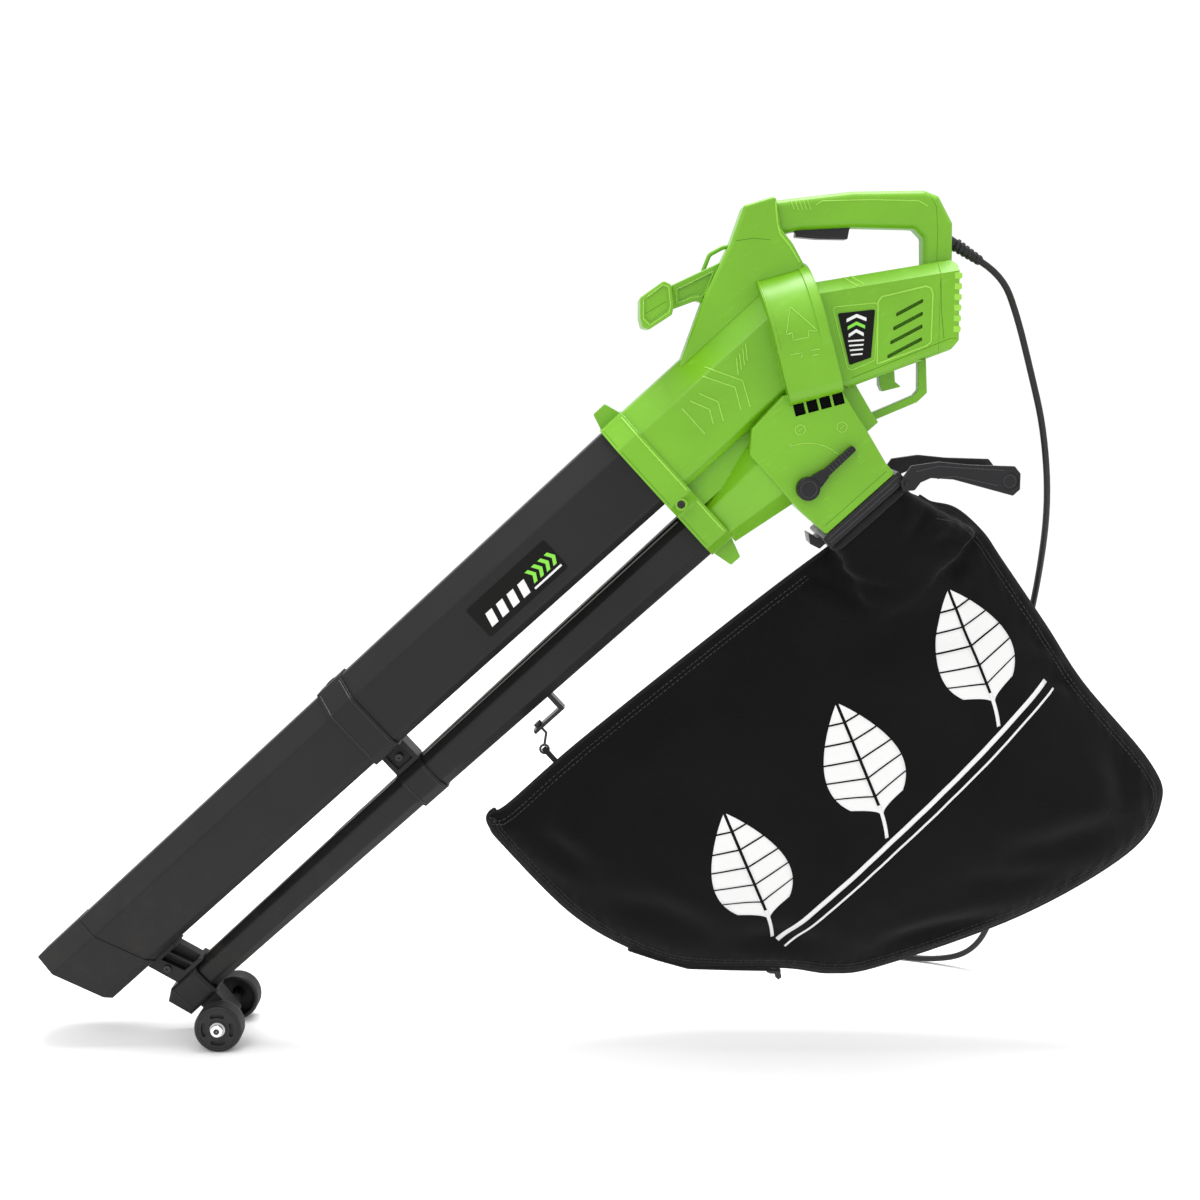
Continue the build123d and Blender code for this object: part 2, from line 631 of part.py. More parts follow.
def mode_switch():
    """Lever outside the air chamber, its shaft, and the flap that the shaft turns inside."""
    hub = TUBE_SIDE.from_local_coords((FLAP_SN[0], FLAP_SN[1], 0))
    face = -CHAMBER_HALF
    shaft = rod((hub.X, face - 4, hub.Z), (hub.X, -face + 2, hub.Z), 5)
    head = rod((hub.X, face - 11, hub.Z), (hub.X, face - 0.4, hub.Z), 12)
    head = fillet(head.faces().sort_by(Axis.Y)[0].edges(), 2)
    arm = slab(TUBE_SIDE, arm_points(10, 62, 4.5, 3.2), 3.5, 2, face - 5)
    neck = slab(TUBE_SIDE, arm_points(4, 24, 9, 5), 3.5, 1, face - 5)
    lever = head + arm + neck - rod((hub.X, face - 4, hub.Z), (hub.X, 0, hub.Z), 5)
    flap = slab(TUBE_SIDE, arm_points(0, FLAP_LENGTH, 2, 1.4), CHAMBER_HALF - WALL - 1)
    flap = flap + rod((hub.X, -50, hub.Z), (hub.X, 50, hub.Z), 7.5)
    flap = flap - rod((hub.X, -70, hub.Z), (hub.X, 70, hub.Z), 5)
    return {"mode_lever": lever, "mode_shaft": shaft, "air_flap": flap}


def arm_points(start, end, wide, narrow):
    """Tapered bar from the flap's axis towards the fan side, as (s, n) points."""
    s, n = FLAP_SN
    return [(s - start, n - wide), (s - end, n - narrow), (s - end, n + narrow), (s - start, n + wide)]


# Leaf bag


COLLAR_N = (-233.0, -220.3)
BAG_OUTLINE = [
    (52, -292), (86, -299), (110, -306), (140, -330), (160, -358), (210, -429), (253, -492), (329, -580),
    (342, -625), (309, -680), (196, -750), (46, -807), (-10, -816), (-61, -810), (-167, -808), (-234, -786),
    (-298, -745), (-370, -669), (-386, -637), (-365, -628), (-285, -556), (-123, -424), (-30, -352),
]


def rectangle_points(s_range, n_range):
    """Corners of a rectangle in (s, n)."""
    (s0, s1), (n0, n1) = s_range, n_range
    return [(s0, n0), (s1, n0), (s1, n1), (s0, n1)]


def bag_collar():
    """Frame on the bag's neck that covers the spigot's mouth, with ears for the lever and the latch."""
    frame = slab(TUBE_SIDE, rectangle_points((147, 250), COLLAR_N), 54.5, 2)
    frame = frame - slab(TUBE_SIDE, rectangle_points((155, 240), (-260, -200)), 49.5)
    x, z = LEVER_PIVOT
    frame = frame + pair(rod((x, -54.5, z), (x, -52.4, z), 6) + rod((x, -61.5, z), (x, -54, z), 2.5))
    outline = [(247, -232.5), (258, -232.5), (262, -222), (256, -212), (253, -222), (247, -224)]
    latch = slab(TUBE_SIDE, outline, 18, 1)
    return {"bag_collar": frame + latch}


LEVER_OUTLINE = [
    (41, -272), (52, -256), (80, -252), (110, -255), (157, -256.5), (163, -264), (163, -280),
    (156, -286.5), (95, -270), (72, -268.5), (62, -273), (56, -281), (44, -282),
]


def bag_lever():
    """U-shaped lever: two arms beside the collar and a round bar across their ends."""
    middle = (LEVER_Y[0] + LEVER_Y[1]) / 2
    half = (LEVER_Y[1] - LEVER_Y[0]) / 2
    arm = slab(SIDE, LEVER_OUTLINE, half, 2, -middle)
    arm = fillet(side_edges(arm), 0.8)
    arm = arm - rod((LEVER_PIVOT[0], -70, LEVER_PIVOT[1]), (LEVER_PIVOT[0], -50, LEVER_PIVOT[1]), 2.55)
    arm = arm - rod((LEVER_BAR[0], -70, LEVER_BAR[1]), (LEVER_BAR[0], -50, LEVER_BAR[1]), LEVER_BAR_R)
    bar = rod((LEVER_BAR[0], -59, LEVER_BAR[1]), (LEVER_BAR[0], 59, LEVER_BAR[1]), LEVER_BAR_R)
    return {"bag_lever": pair(arm), "lever_bar": bar}


def scaled_outline(factor, shift):
    """Bag outline shrunk about its centre, on the plane Y = shift."""
    cx, cz = BAG_CENTRE
    points = [(cx + (x - cx) * factor, cz + (z - cz) * factor) for x, z in BAG_OUTLINE]
    return Plane(origin=(0, shift, 0), x_dir=(1, 0, 0), z_dir=(0, -1, 0)) * Polygon(*points, align=None)


def bag_form(factor, thin):
    """Pillow shape of the bag: a flat rim and two bulging sides."""
    rim = BAG_SEAM_HALF - thin
    solid = loft([scaled_outline(factor, -rim), scaled_outline(factor, rim)], ruled=True)
    for side in (-1, 1):
        middle = scaled_outline(factor * 0.88, side * (0.62 * BAG_HALF - thin))
        crown = scaled_outline(factor * 0.62, side * (BAG_HALF - thin))
        solid = solid + loft([scaled_outline(factor, side * rim), middle], ruled=True)
        solid = solid + loft([middle, crown], ruled=True)
    return solid


def neck_form(thin):
    """Bag neck from the collar down into the bag."""
    planes = [(COLLAR_N[0] - GAP, 98, 104), (-262, 112, 92), (-330, 150, 84)]
    faces = []
    for n, length, width in planes:
        plane = Plane(origin=on_tube(198.5, n), x_dir=TUBE_DIR, z_dir=-TUBE_UP)
        faces.append(plane * Rectangle(length - 2 * thin, width - 2 * thin))
    return loft(faces, ruled=True)


def leaf_bag():
    """Cloth bag as a thin wall, open at its neck, with its zip along the lower seam."""
    above = slab(TUBE_SIDE, rectangle_points((0, 420), (COLLAR_N[0] - GAP, 0)), 200)
    mouth = slab(TUBE_SIDE, rectangle_points((149.5 + CLOTH, 247.5 - CLOTH), (-245, -230)), 52 - CLOTH)
    outer = bag_form(1.0, 0.0) + neck_form(0.0) - above
    inner = bag_form(0.985, CLOTH) + neck_form(CLOTH) + mouth
    zip_outline = [(-66, -808), (-166, -806), (-232, -785), (-234, -789), (-168, -811), (-64, -813)]
    zip_band = slab(SIDE, zip_outline, 7)
    return {"leaf_bag": outer - inner, "bag_zip": zip_band - outer}


def bag_hanger():
    """Bracket under the small tube, the hook in its eye, and the webbing loop sewn to the bag."""
    foot = [(577, -176), (614, -176), (614, -179.5), (572, -179.5)]
    plates = slab(TUBE_SIDE, [(572, -150), (577, -150)] + foot, 9)
    plates = plates - duct(blow_outline, BLOW_N, [blow_end(500), blow_end(700)])
    plates = plates - rod(on_tube(606, -170), on_tube(606, -186), 3.4)
    bend = on_tube(606, -187)
    low = bend + Vector(-2, 0, -18)
    hook = rod(on_tube(606, -172), bend, 1.4) + rod(on_tube(606, -175.5), on_tube(606, -172), 4.6)
    hook = hook + Pos(bend) * Sphere(1.4) + rod(bend, low + Vector(0, 0, 4.4), 1.4)
    hook = hook + Pos(low) * Rot(90, 0, 0) * Torus(4.6, 1.3)
    (x0, z0), (x1, z1) = BAG_OUTLINE[-4:-2]
    inwards = Vector(z1 - z0, 0, x0 - x1).normalized()
    reach = (Vector(x0, 0, z0) - low).dot(inwards) - 0.8
    strap_plane = Plane(origin=low, x_dir=inwards, z_dir=(0, -1, 0))
    strap = Pos(reach / 2 - 1.2, 0) * Rectangle(reach + 2.4, 5)
    webbing = pair(extrude(strap_plane.offset(3.2) * strap, -1.2))
    webbing = webbing + extrude(strap_plane * Rectangle(2.4, 3.2), 2.6, both=True)
    return {"hook_bracket": plates, "bag_hook": hook, "webbing_loop": webbing}


# Mains lead


BOOT_START = Vector(94, 0, -28.4)
BOOT_DIR = Vector(34.5, 0, -21.3).normalized()
CORD_ROUTE = [
    (128.5, 0, -49.7), (151.5, 0, -63.9), (168, 0, -104), (184, 0, -160), (201, 1, -222), (214, 20, -300),
    (218, 58, -380), (214, 95, -465), (208, 122, -560), (206, 138, -660), (208, 150, -755), (204, 166, -825),
    (184, 186, -866), (146, 208, -881.7), (100, 224, -881.7), (56, 234, -881.7), (12, 239.5, -881.7),
]


def cord_radii(points):
    """Arc radius at each corner: 0.45 of the shorter run over the tangent of half the turn."""
    radii = []
    for before, here, after in zip(points, points[1:], points[2:]):
        arriving = Vector(*here) - Vector(*before)
        leaving = Vector(*after) - Vector(*here)
        half_turn = math.radians(arriving.get_angle(leaving)) / 2
        radii.append(0.45 * min(arriving.length, leaving.length) / math.tan(half_turn))
    return radii


def mains_lead():
    """Strain relief, free stretch, stored coil with its tie, and the plug with two round pins."""
    plane = Plane(origin=BOOT_START, z_dir=BOOT_DIR)
    length = (Vector(*CORD_ROUTE[0]) - BOOT_START).length
    boot = loft([plane * Circle(6), plane.offset(length) * Circle(4.6)])
    inner = BOOT_START - BOOT_DIR * 8
    boot = boot + rod(inner, BOOT_START, 6) + rod(inner, inner + BOOT_DIR * 3.5, 8)
    for step in range(5):
        for side in (-6, 6):
            notch = plane.offset(8 + 6 * step) * Pos(0, side) * Rectangle(9, 4.6)
            boot = boot - extrude(notch, 2.4)
    radii = cord_radii(CORD_ROUTE)
    print("cord radii", [round(radius) for radius in radii])
    path = FilletPolyline(*CORD_ROUTE, radius=radii)
    lead = sweep(Plane(origin=path @ 0, z_dir=path % 0) * Circle(CORD_D / 2), path=path)
    expected = math.pi * CORD_D**2 / 4 * path.length
    print("cord length", round(path.length), "volume ratio", round(lead.volume / expected, 4))
    x, y = COIL_CENTRE
    coil = rod((x, y, FLOOR_Z), (x, y, FLOOR_Z + COIL_HEIGHT), COIL_R[1], COIL_R[0])
    tie_plane = Plane(origin=(x, y + (COIL_R[0] + COIL_R[1]) / 2, FLOOR_Z), x_dir=(0, 1, 0), z_dir=(1, 0, 0))
    wide, tall = COIL_R[1] - COIL_R[0], COIL_HEIGHT
    tie_outer = Pos(0, tall / 2 + 1.0) * Rectangle(wide + 4, tall + 2)
    tie = extrude(tie_plane * (tie_outer - Pos(0, tall / 2) * Rectangle(wide + 1.2, tall)), 8, both=True)
    return {"cord_boot": boot, "power_cord": lead, "cord_coil": coil, "cord_tie": tie - coil} | plug()


PLUG_START = (30.0, 358.5, -876.0)


def plug():
    """Flat moulded plug lying beside the coil, with a tapered strain relief and two round pins."""
    x, y, z = PLUG_START
    relief_plane = Plane(origin=PLUG_START, z_dir=(1, 0, 0))
    relief = loft([relief_plane * Circle(4.6), relief_plane.offset(24) * Circle(6.5)])
    outline = [(24, -8), (34, -17), (58, -18.5), (62, -17), (62, 17), (58, 18.5), (34, 17), (24, 8)]
    flat = Plane(origin=(x, y, z), x_dir=(1, 0, 0), z_dir=(0, 0, 1))
    body = extrude(flat * rounded(outline, 2.5), 9, both=True)
    body = fillet(body.faces().filter_by(Axis.Z).edges(), 2) + relief
    pins = None
    for side in (-1, 1):
        pin = rod((x + 62, y + 9.5 * side, z), (x + 81, y + 9.5 * side, z), 2.4)
        pins = pin if pins is None else pins + pin
    return {"plug": body, "plug_pins": pins}


# Labels and screws


def labels():
    """Blank label plates on the large tube and on the motor housing."""
    film = duct(suction_outline, SUCTION_N, [suction_end(TUBE_START_S, 1.2), suction_end(JOINT_S, 1.2)])
    film = film - duct(suction_outline, SUCTION_N, [suction_end(TUBE_START_S - 1), suction_end(JOINT_S + 1)])
    plate = film & slab(TUBE_SIDE, [(462, -29), (572, -29), (572, -67), (462, -67)], 8, 3, -44)
    outline = [(-24, -103.5), (13.5, -99.5), (10.5, -147.5), (-11, -155)]
    badge = slab(SIDE, outline, 0.5, 1.5, -MOTOR_HALF - 0.5)
    return {"label_plates": plate + badge}


def screw(plane, place, y, reach):
    """Pan-head screw along Y, with its head at y."""
    start = plane.from_local_coords((place[0], place[1], 0))
    head = rod((start.X, y, start.Z), (start.X, y + 2.4, start.Z), 4)
    face = Plane(origin=(start.X, y, start.Z), x_dir=(1, 0, 0), z_dir=(0, 1, 0))
    socket = extrude(face * RegularPolygon(1.6, 6), 1.4)
    return head - socket + rod((start.X, y + 2.4, start.Z), (start.X, y + reach, start.Z), 2.1)


def screws():
    """Casing screw in the flange's boss, and the screws through the two tube bridges."""
    casing = screw(TUBE_SIDE, (333, -97), -48.4, 60)
    bridges = screw(TUBE_SIDE, (737.5, -98.5), -17.4, 26) + screw(TUBE_SIDE, (1086, -100), -18.4, 26)
    return {"screws": casing + bridges}


BUILDERS = [
    front_casing, handle, front_handle, strap_eye, motor_housing, rear_loop, motor, controls, mode_switch,
    suction_tubes, blow_tubes, joint_collar, lower_bridge, wheel_foot, wheels, bag_collar, bag_lever,
    leaf_bag, bag_hanger, mains_lead, labels, screws,
]


def main():
    """Build every node and write it as a STEP file."""
    os.makedirs("parts", exist_ok=True)
    for builder in BUILDERS:
        for node, shape in builder().items():
            export_step(shape, f"parts/{node}.step")


if __name__ == "__main__":
    main()
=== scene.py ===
"""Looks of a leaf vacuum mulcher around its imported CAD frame.

Places are worked out in millimetres in the frame's own axes, and helpers turn them into metres.
A place on the tubes is (s, n), a place on the motor is (m, w), a place on the side is (x, z).
"""
import json
import math

import bmesh
import bpy
import numpy as np
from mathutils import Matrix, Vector, noise
from mathutils.bvhtree import BVHTree


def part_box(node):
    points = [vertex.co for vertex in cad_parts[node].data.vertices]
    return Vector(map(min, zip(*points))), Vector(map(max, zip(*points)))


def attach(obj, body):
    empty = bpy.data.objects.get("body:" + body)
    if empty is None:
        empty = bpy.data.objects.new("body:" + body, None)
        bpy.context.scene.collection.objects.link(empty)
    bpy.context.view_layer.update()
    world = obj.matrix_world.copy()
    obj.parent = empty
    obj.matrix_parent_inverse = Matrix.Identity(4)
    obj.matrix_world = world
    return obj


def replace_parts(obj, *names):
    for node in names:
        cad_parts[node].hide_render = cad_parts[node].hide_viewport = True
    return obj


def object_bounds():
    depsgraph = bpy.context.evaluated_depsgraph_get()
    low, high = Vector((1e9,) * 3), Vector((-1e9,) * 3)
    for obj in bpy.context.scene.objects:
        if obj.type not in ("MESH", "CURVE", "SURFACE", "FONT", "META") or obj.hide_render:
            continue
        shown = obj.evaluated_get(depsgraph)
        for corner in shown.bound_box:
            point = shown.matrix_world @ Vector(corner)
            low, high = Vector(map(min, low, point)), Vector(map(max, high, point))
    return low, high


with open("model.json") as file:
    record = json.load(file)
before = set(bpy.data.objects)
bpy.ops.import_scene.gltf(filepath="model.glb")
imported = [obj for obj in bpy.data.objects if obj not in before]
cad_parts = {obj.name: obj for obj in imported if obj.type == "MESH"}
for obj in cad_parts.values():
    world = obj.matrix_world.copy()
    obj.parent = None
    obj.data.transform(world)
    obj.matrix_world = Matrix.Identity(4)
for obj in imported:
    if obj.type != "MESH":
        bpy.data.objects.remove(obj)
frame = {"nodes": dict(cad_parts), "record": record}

CAD_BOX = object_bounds()
NODES = frame["nodes"]
MM = 0.001
TUBE_ANGLE = math.radians(42.4)
MOTOR_TILT = math.radians(15.0)
FAN_CENTRE = (-62.0, -127.0)
FAN_RADIUS = 70.0
FLOOR = CAD_BOX[0][2] / MM
NEAR = (-1,)
BOTH = (-1, 1)


# Places


def metres(x, y, z):
    """Point in metres from millimetres."""
    return Vector((x * MM, y * MM, z * MM))


def beside(spot, y):
    """Point in metres at a side place, y millimetres from the middle plane."""
    return metres(spot[0], y, spot[1])


def tube(s, n):
    """Side place (x, z) of a point beside the tubes."""
    c, d = math.cos(TUBE_ANGLE), math.sin(TUBE_ANGLE)
    return (-c * s - d * n, -d * s + c * n)


def tubes(*places):
    """Side places of several points beside the tubes."""
    return [tube(s, n) for s, n in places]


def motor(m, w):
    """Side place (x, z) of a point beside the motor."""
    c, d = math.cos(MOTOR_TILT), math.sin(MOTOR_TILT)
    return (FAN_CENTRE[0] + c * m - d * w, FAN_CENTRE[1] + d * m + c * w)


def motors(*places):
    """Side places of several points beside the motor."""
    return [motor(m, w) for m, w in places]


def arc(centre, radius, start, end, count=16):
    """Points of an arc about a centre, in whatever places the centre is in."""
    turns = [math.radians(start + (end - start) * i / count) for i in range(count + 1)]
    return [(centre[0] + radius * math.cos(t), centre[1] + radius * math.sin(t)) for t in turns]


def spread(line, step=3.0):
    """The line with more points, no further apart than step."""
    points = []
    for a, b in zip(line, line[1:]):
        count = max(1, math.ceil(math.dist(a, b) / step))
        points += [(a[0] + (b[0] - a[0]) * i / count, a[1] + (b[1] - a[1]) * i / count) for i in range(count)]
    return points + [line[-1]]


def smooth_loop(points, per_span):
    """Closed Catmull-Rom curve through the points."""
    loop = [Vector(p) for p in points]
    count = len(loop)
    curve = []
    for i in range(count):
        a, b, c, d = (loop[(i + k) % count] for k in (-1, 0, 1, 2))
        for j in range(per_span):
            t = j / per_span
            curve.append(0.5 * (2 * b + (c - a) * t + (2 * a - 5 * b + 4 * c - d) * t * t
                                + (3 * b - a - 3 * c + d) * t * t * t))
    return curve


def heading(line, i):
    """Direction of a line at its point i."""
    return (Vector(line[min(i + 1, len(line) - 1)]) - Vector(line[max(i - 1, 0)])).normalized()


def squarish(count, power):
    """Points round a square with rounded corners, from -1 to 1."""
    points = []
    for i in range(count):
        t = 2 * math.pi * i / count
        c, d = math.cos(t), math.sin(t)
        points.append((math.copysign(abs(c) ** power, c), math.copysign(abs(d) ** power, d)))
    return points


# Materials


class Graph:
    """Node tree of one Principled material, with short names for the nodes it uses."""

    def __init__(self, name, **sockets):
        self.material = bpy.data.materials.new(name)
        self.material.use_nodes = True
        self.tree = self.material.node_tree
        self.shader = self.tree.nodes["Principled BSDF"]
        for socket, value in sockets.items():
            self.shader.inputs[socket.replace("_", " ")].default_value = value
        self.place = self.node("TexCoord").outputs["Object"]

    def node(self, kind, inputs=None, **settings):
        made = self.tree.nodes.new("ShaderNode" + kind)
        for key, value in settings.items():
            setattr(made, key, value)
        for key, value in (inputs or {}).items():
            self.put(made.inputs[key], value)
        return made

    def put(self, socket, value):
        """Link or set a socket; a colour is three numbers."""
        if isinstance(value, bpy.types.NodeSocket):
            self.tree.links.new(value, socket)
        elif socket.type == "RGBA":
            socket.default_value = (*value, 1.0)
        else:
            socket.default_value = value

    def stretched(self, scale, turn=0.0):
        """Object place scaled along its axes, after a turn about Y."""
        turned = self.node("Mapping", {"Vector": self.place, "Rotation": (0, turn, 0)})
        return self.node("Mapping", {"Vector": turned.outputs[0], "Scale": scale}).outputs[0]

    def noise(self, scale, detail=2.0, place=None, roughness=0.5):
        inputs = {"Vector": place or self.place, "Scale": scale, "Detail": detail, "Roughness": roughness}
        return self.node("TexNoise", inputs).outputs["Fac"]

    def bands(self, scale, direction):
        inputs = {"Vector": self.place, "Scale": scale}
        return self.node("TexWave", inputs, bands_direction=direction).outputs["Fac"]

    def remap(self, value, low, high, to_low=0.0, to_high=1.0):
        inputs = {"Value": value, "From Min": low, "From Max": high, "To Min": to_low, "To Max": to_high}
        return self.node("MapRange", inputs).outputs[0]

    def maths(self, operation, a, b):
        return self.node("Math", {0: a, 1: b}, operation=operation).outputs[0]

    def mix(self, share, a, b):
        made = self.node("Mix", data_type="RGBA")
        for i, value in ((0, share), (6, a), (7, b)):
            self.put(made.inputs[i], value)
        return made.outputs[2]

    def tint(self, base, share, strength, colour):
        """Mix a colour into the base where share is high."""
        return self.mix(self.maths("MULTIPLY", share, strength), base, colour)

    def plus(self, value, share, amount):
        """Raise a value by an amount where share is high."""
        return self.maths("ADD", value, self.maths("MULTIPLY", share, amount))

    def bump(self, height, strength, distance, normal=None):
        inputs = {"Height": height, "Strength": strength, "Distance": distance}
        if normal is not None:
            inputs["Normal"] = normal
        return self.node("Bump", inputs).outputs[0]

    def edge(self, radius):
        """Rounded normal, and how far a point is towards a sharp edge, from 0 to 1."""
        rounded = self.node("Bevel", {"Radius": radius}, samples=4).outputs[0]
        flat = self.node("NewGeometry").outputs["Normal"]
        facing = self.node("VectorMath", {0: rounded, 1: flat}, operation="DOT_PRODUCT")
        return rounded, self.remap(facing.outputs["Value"], 0.995, 0.86)

    def finish(self, colour, roughness, normal):
        for socket, value in (("Base Color", colour), ("Roughness", roughness), ("Normal", normal)):
            self.put(self.shader.inputs[socket], value)
        return self.material


def shade(colour, factor):
    """Darker or lighter version of a colour."""
    return tuple(min(1.0, factor * c) for c in colour)


def moulded(name, colour, lit, rough, grain, specular=0.5, radius=0.0011):
    """Moulded plastic: fine spark-eroded grain, faint flow clouds, and worn edges that are smoother and
    painted paler in the lit colour, partly wear and partly a painted highlight.
    """
    g = Graph(name, Specular_IOR_Level=specular)
    rounded, worn = g.edge(radius)
    clouds = g.noise(14.0, 3.0)
    darker = shade(colour, 0.9)
    base = g.mix(g.remap(clouds, 0.35, 0.65), darker, colour)
    scuffs = g.remap(g.noise(60.0, 5.0, g.stretched((1, 1, 5), 0.6), 0.65), 0.58, 0.72)
    base = g.tint(base, scuffs, 0.16, lit)
    # Edges tinted towards the lit colour: a painted highlight along the edges as well as wear.
    base = g.tint(base, worn, 0.4, lit)
    shine = g.remap(clouds, 0.3, 0.7, rough - 0.05, rough + 0.05)
    shine = g.plus(shine, scuffs, 0.1)
    shine = g.maths("SUBTRACT", shine, g.maths("MULTIPLY", worn, 0.08))
    bumped = g.bump(g.noise(900.0, 2.0), grain, 0.0002, rounded)
    return g.finish(base, shine, bumped)


def tube_plastic(name):
    """Extruded tube: long faint scratches along it, with dust and scuffs towards the nozzle."""
    g = Graph(name, Specular_IOR_Level=0.24)
    rounded, worn = g.edge(0.0018)
    along = g.stretched((1, 1, 1), -TUBE_ANGLE)
    lines = g.node("Mapping", {"Vector": along, "Scale": (4, 300, 300)}).outputs[0]
    scratches = g.remap(g.noise(1.0, 4.0, lines, 0.6), 0.60, 0.74)
    clouds = g.noise(10.0, 4.0)
    base = g.mix(g.remap(clouds, 0.35, 0.7), (0.0085, 0.0080, 0.0084), (0.0115, 0.0108, 0.0112))
    base = g.tint(base, scratches, 0.35, (0.02, 0.019, 0.018))
    height = g.node("SeparateXYZ", {"Vector": g.place}).outputs["Z"]
    low = g.remap(height, -0.62, -0.86)
    dust = g.maths("MULTIPLY", low, g.remap(g.noise(38.0, 6.0, None, 0.7), 0.48, 0.7))
    base = g.tint(base, dust, 0.5, (0.035, 0.032, 0.026))
    # Paler edges: a painted highlight along the tube's edges as well as wear.
    base = g.tint(base, worn, 0.35, (0.03, 0.028, 0.026))
    shine = g.remap(clouds, 0.3, 0.7, 0.4, 0.5)
    shine = g.plus(shine, dust, 0.25)
    bumped = g.bump(g.noise(1100.0, 2.0), 0.1, 0.0002, rounded)
    bumped = g.bump(scratches, 0.12, 0.0001, bumped)
    return g.finish(base, shine, bumped)


def woven(name, dark, light, pitch, specular, sheen):
    """Woven cloth: over-and-under threads in two directions, lint and uneven dye."""
    g = Graph(name, Specular_IOR_Level=specular, Sheen_Weight=sheen, Sheen_Roughness=0.5)
    threads = math.pi / (pitch * MM) / 10.0
    weft = g.bands(threads, "Z")
    warp = g.bands(threads, "X")
    weave = g.maths("MAXIMUM", g.maths("MULTIPLY", weft, warp), g.maths("SUBTRACT", weft, warp))
    fuzz = g.noise(700.0, 4.0, None, 0.7)
    dye = g.noise(9.0, 4.0)
    base = g.mix(g.remap(weave, 0.0, 1.0), dark, light)
    base = g.tint(base, g.remap(dye, 0.4, 0.7), 0.5, light)
    base = g.tint(base, g.remap(fuzz, 0.62, 0.8), 0.4, shade(light, 2.2))
    shine = g.remap(fuzz, 0.3, 0.7, 0.82, 0.97)
    bumped = g.bump(g.maths("ADD", weave, fuzz), 0.35, 0.0003)
    return g.finish(base, shine, bumped)


def rubber(name, colour):
    """Soft black rubber: faintly mottled, with a satin skin."""
    g = Graph(name, Specular_IOR_Level=0.4)
    rounded, worn = g.edge(0.0005)
    mottle = g.noise(120.0, 4.0)
    base = g.mix(g.remap(mottle, 0.35, 0.7), colour, shade(colour, 1.8))
    # Paler edges: a painted highlight along the edges as well as wear.
    base = g.tint(base, worn, 0.3, (0.035, 0.034, 0.033))
    bumped = g.bump(g.noise(1500.0, 2.0), 0.12, 0.0001, rounded)
    return g.finish(base, g.remap(mottle, 0.3, 0.7, 0.42, 0.58), bumped)


def metal(name, colour, rough, brushed=(1, 1, 1)):
    """Metal with fine turning or grinding marks and small stains."""
    g = Graph(name, Metallic=1.0)
    rounded, worn = g.edge(0.0004)
    marks = g.noise(500.0, 3.0, g.stretched(brushed))
    stains = g.noise(45.0, 4.0)
    darker = shade(colour, 0.72)
    base = g.mix(g.remap(stains, 0.5, 0.75), colour, darker)
    # Lighter edges: a painted highlight along the edges as well as wear.
    base = g.tint(base, worn, 0.5, shade(colour, 1.15))
    shine = g.remap(marks, 0.3, 0.7, rough * 0.8, rough * 1.2)
    shine = g.maths("ADD", shine, g.remap(stains, 0.5, 0.8, 0.0, 0.12))
    return g.finish(base, shine, g.bump(marks, 0.15, 0.0001, rounded))


def printed(name, colour, rough, break_up=0.0, specular=0.35):
    """Printed film or ink with specks and slightly uneven cover."""
    g = Graph(name, Specular_IOR_Level=specular)
    specks = g.noise(420.0, 5.0, None, 0.7)
    worn = shade(colour, 1 - break_up)
    base = g.mix(g.remap(specks, 0.6, 0.75), colour, worn)
    return g.finish(base, g.remap(specks, 0.3, 0.7, rough - 0.05, rough + 0.08), g.bump(specks, 0.1, 0.0001))


# Each slot's look: the function that makes it, and what that function takes after the name
LOOKS = {
    "green_plastic": (moulded, (0.148, 0.395, 0.005), (0.33, 0.65, 0.08), 0.36, 0.10),
    "grip_plastic": (moulded, (0.146, 0.39, 0.005), (0.33, 0.65, 0.08), 0.40, 0.18),
    "tube_plastic": (tube_plastic,),
    "wheel_plastic": (moulded, (0.005, 0.005, 0.0055), (0.04, 0.04, 0.04), 0.45, 0.2, 0.4),
    "dark_plastic": (moulded, (0.0045, 0.004, 0.0055), (0.03, 0.028, 0.033), 0.34, 0.12, 0.36),
    "inner_plastic": (moulded, (0.03, 0.03, 0.032), (0.09, 0.09, 0.09), 0.5, 0.15, 0.4),
    "fan_alloy": (metal, (0.62, 0.62, 0.64), 0.42),
    "steel": (metal, (0.52, 0.52, 0.53), 0.32, (1, 8, 1)),
    "chrome": (metal, (0.86, 0.86, 0.87), 0.12),
    "label": (printed, (0.003, 0.003, 0.0026), 0.35, -0.6, 0.15),
    "bag_cloth": (woven, (0.0022, 0.0021, 0.0024), (0.0062, 0.0058, 0.0062), 1.3, 0.1, 0.06),
    "webbing": (woven, (0.004, 0.004, 0.0042), (0.016, 0.0155, 0.0155), 0.9, 0.2, 0.1),
    "zip": (moulded, (0.012, 0.012, 0.012), (0.06, 0.06, 0.06), 0.35, 0.1, 0.45, 0.0003),
    "cord_rubber": (rubber, (0.006, 0.006, 0.006)),
}
MATERIALS = {name: look[0](name, *look[1:]) for name, look in LOOKS.items()}
WHITE_INK = printed("white_ink", (0.72, 0.72, 0.715), 0.5, 0.12)
GREEN_INK = printed("green_ink", (0.20, 0.62, 0.05), 0.45, 0.12)
# Dark green for seams and vent backs: painted shadow.
GROOVE = moulded("groove_shadow", (0.055, 0.17, 0.003), (0.08, 0.22, 0.01), 0.6, 0.05, 0.2)
# Near-black colour for sheets in openings: painted shade of the hollow behind them.
VOID_SHADE = moulded("painted_void_shade", (0.0015, 0.0015, 0.0015), (0.003, 0.003, 0.003), 0.8, 0.1, 0.1)
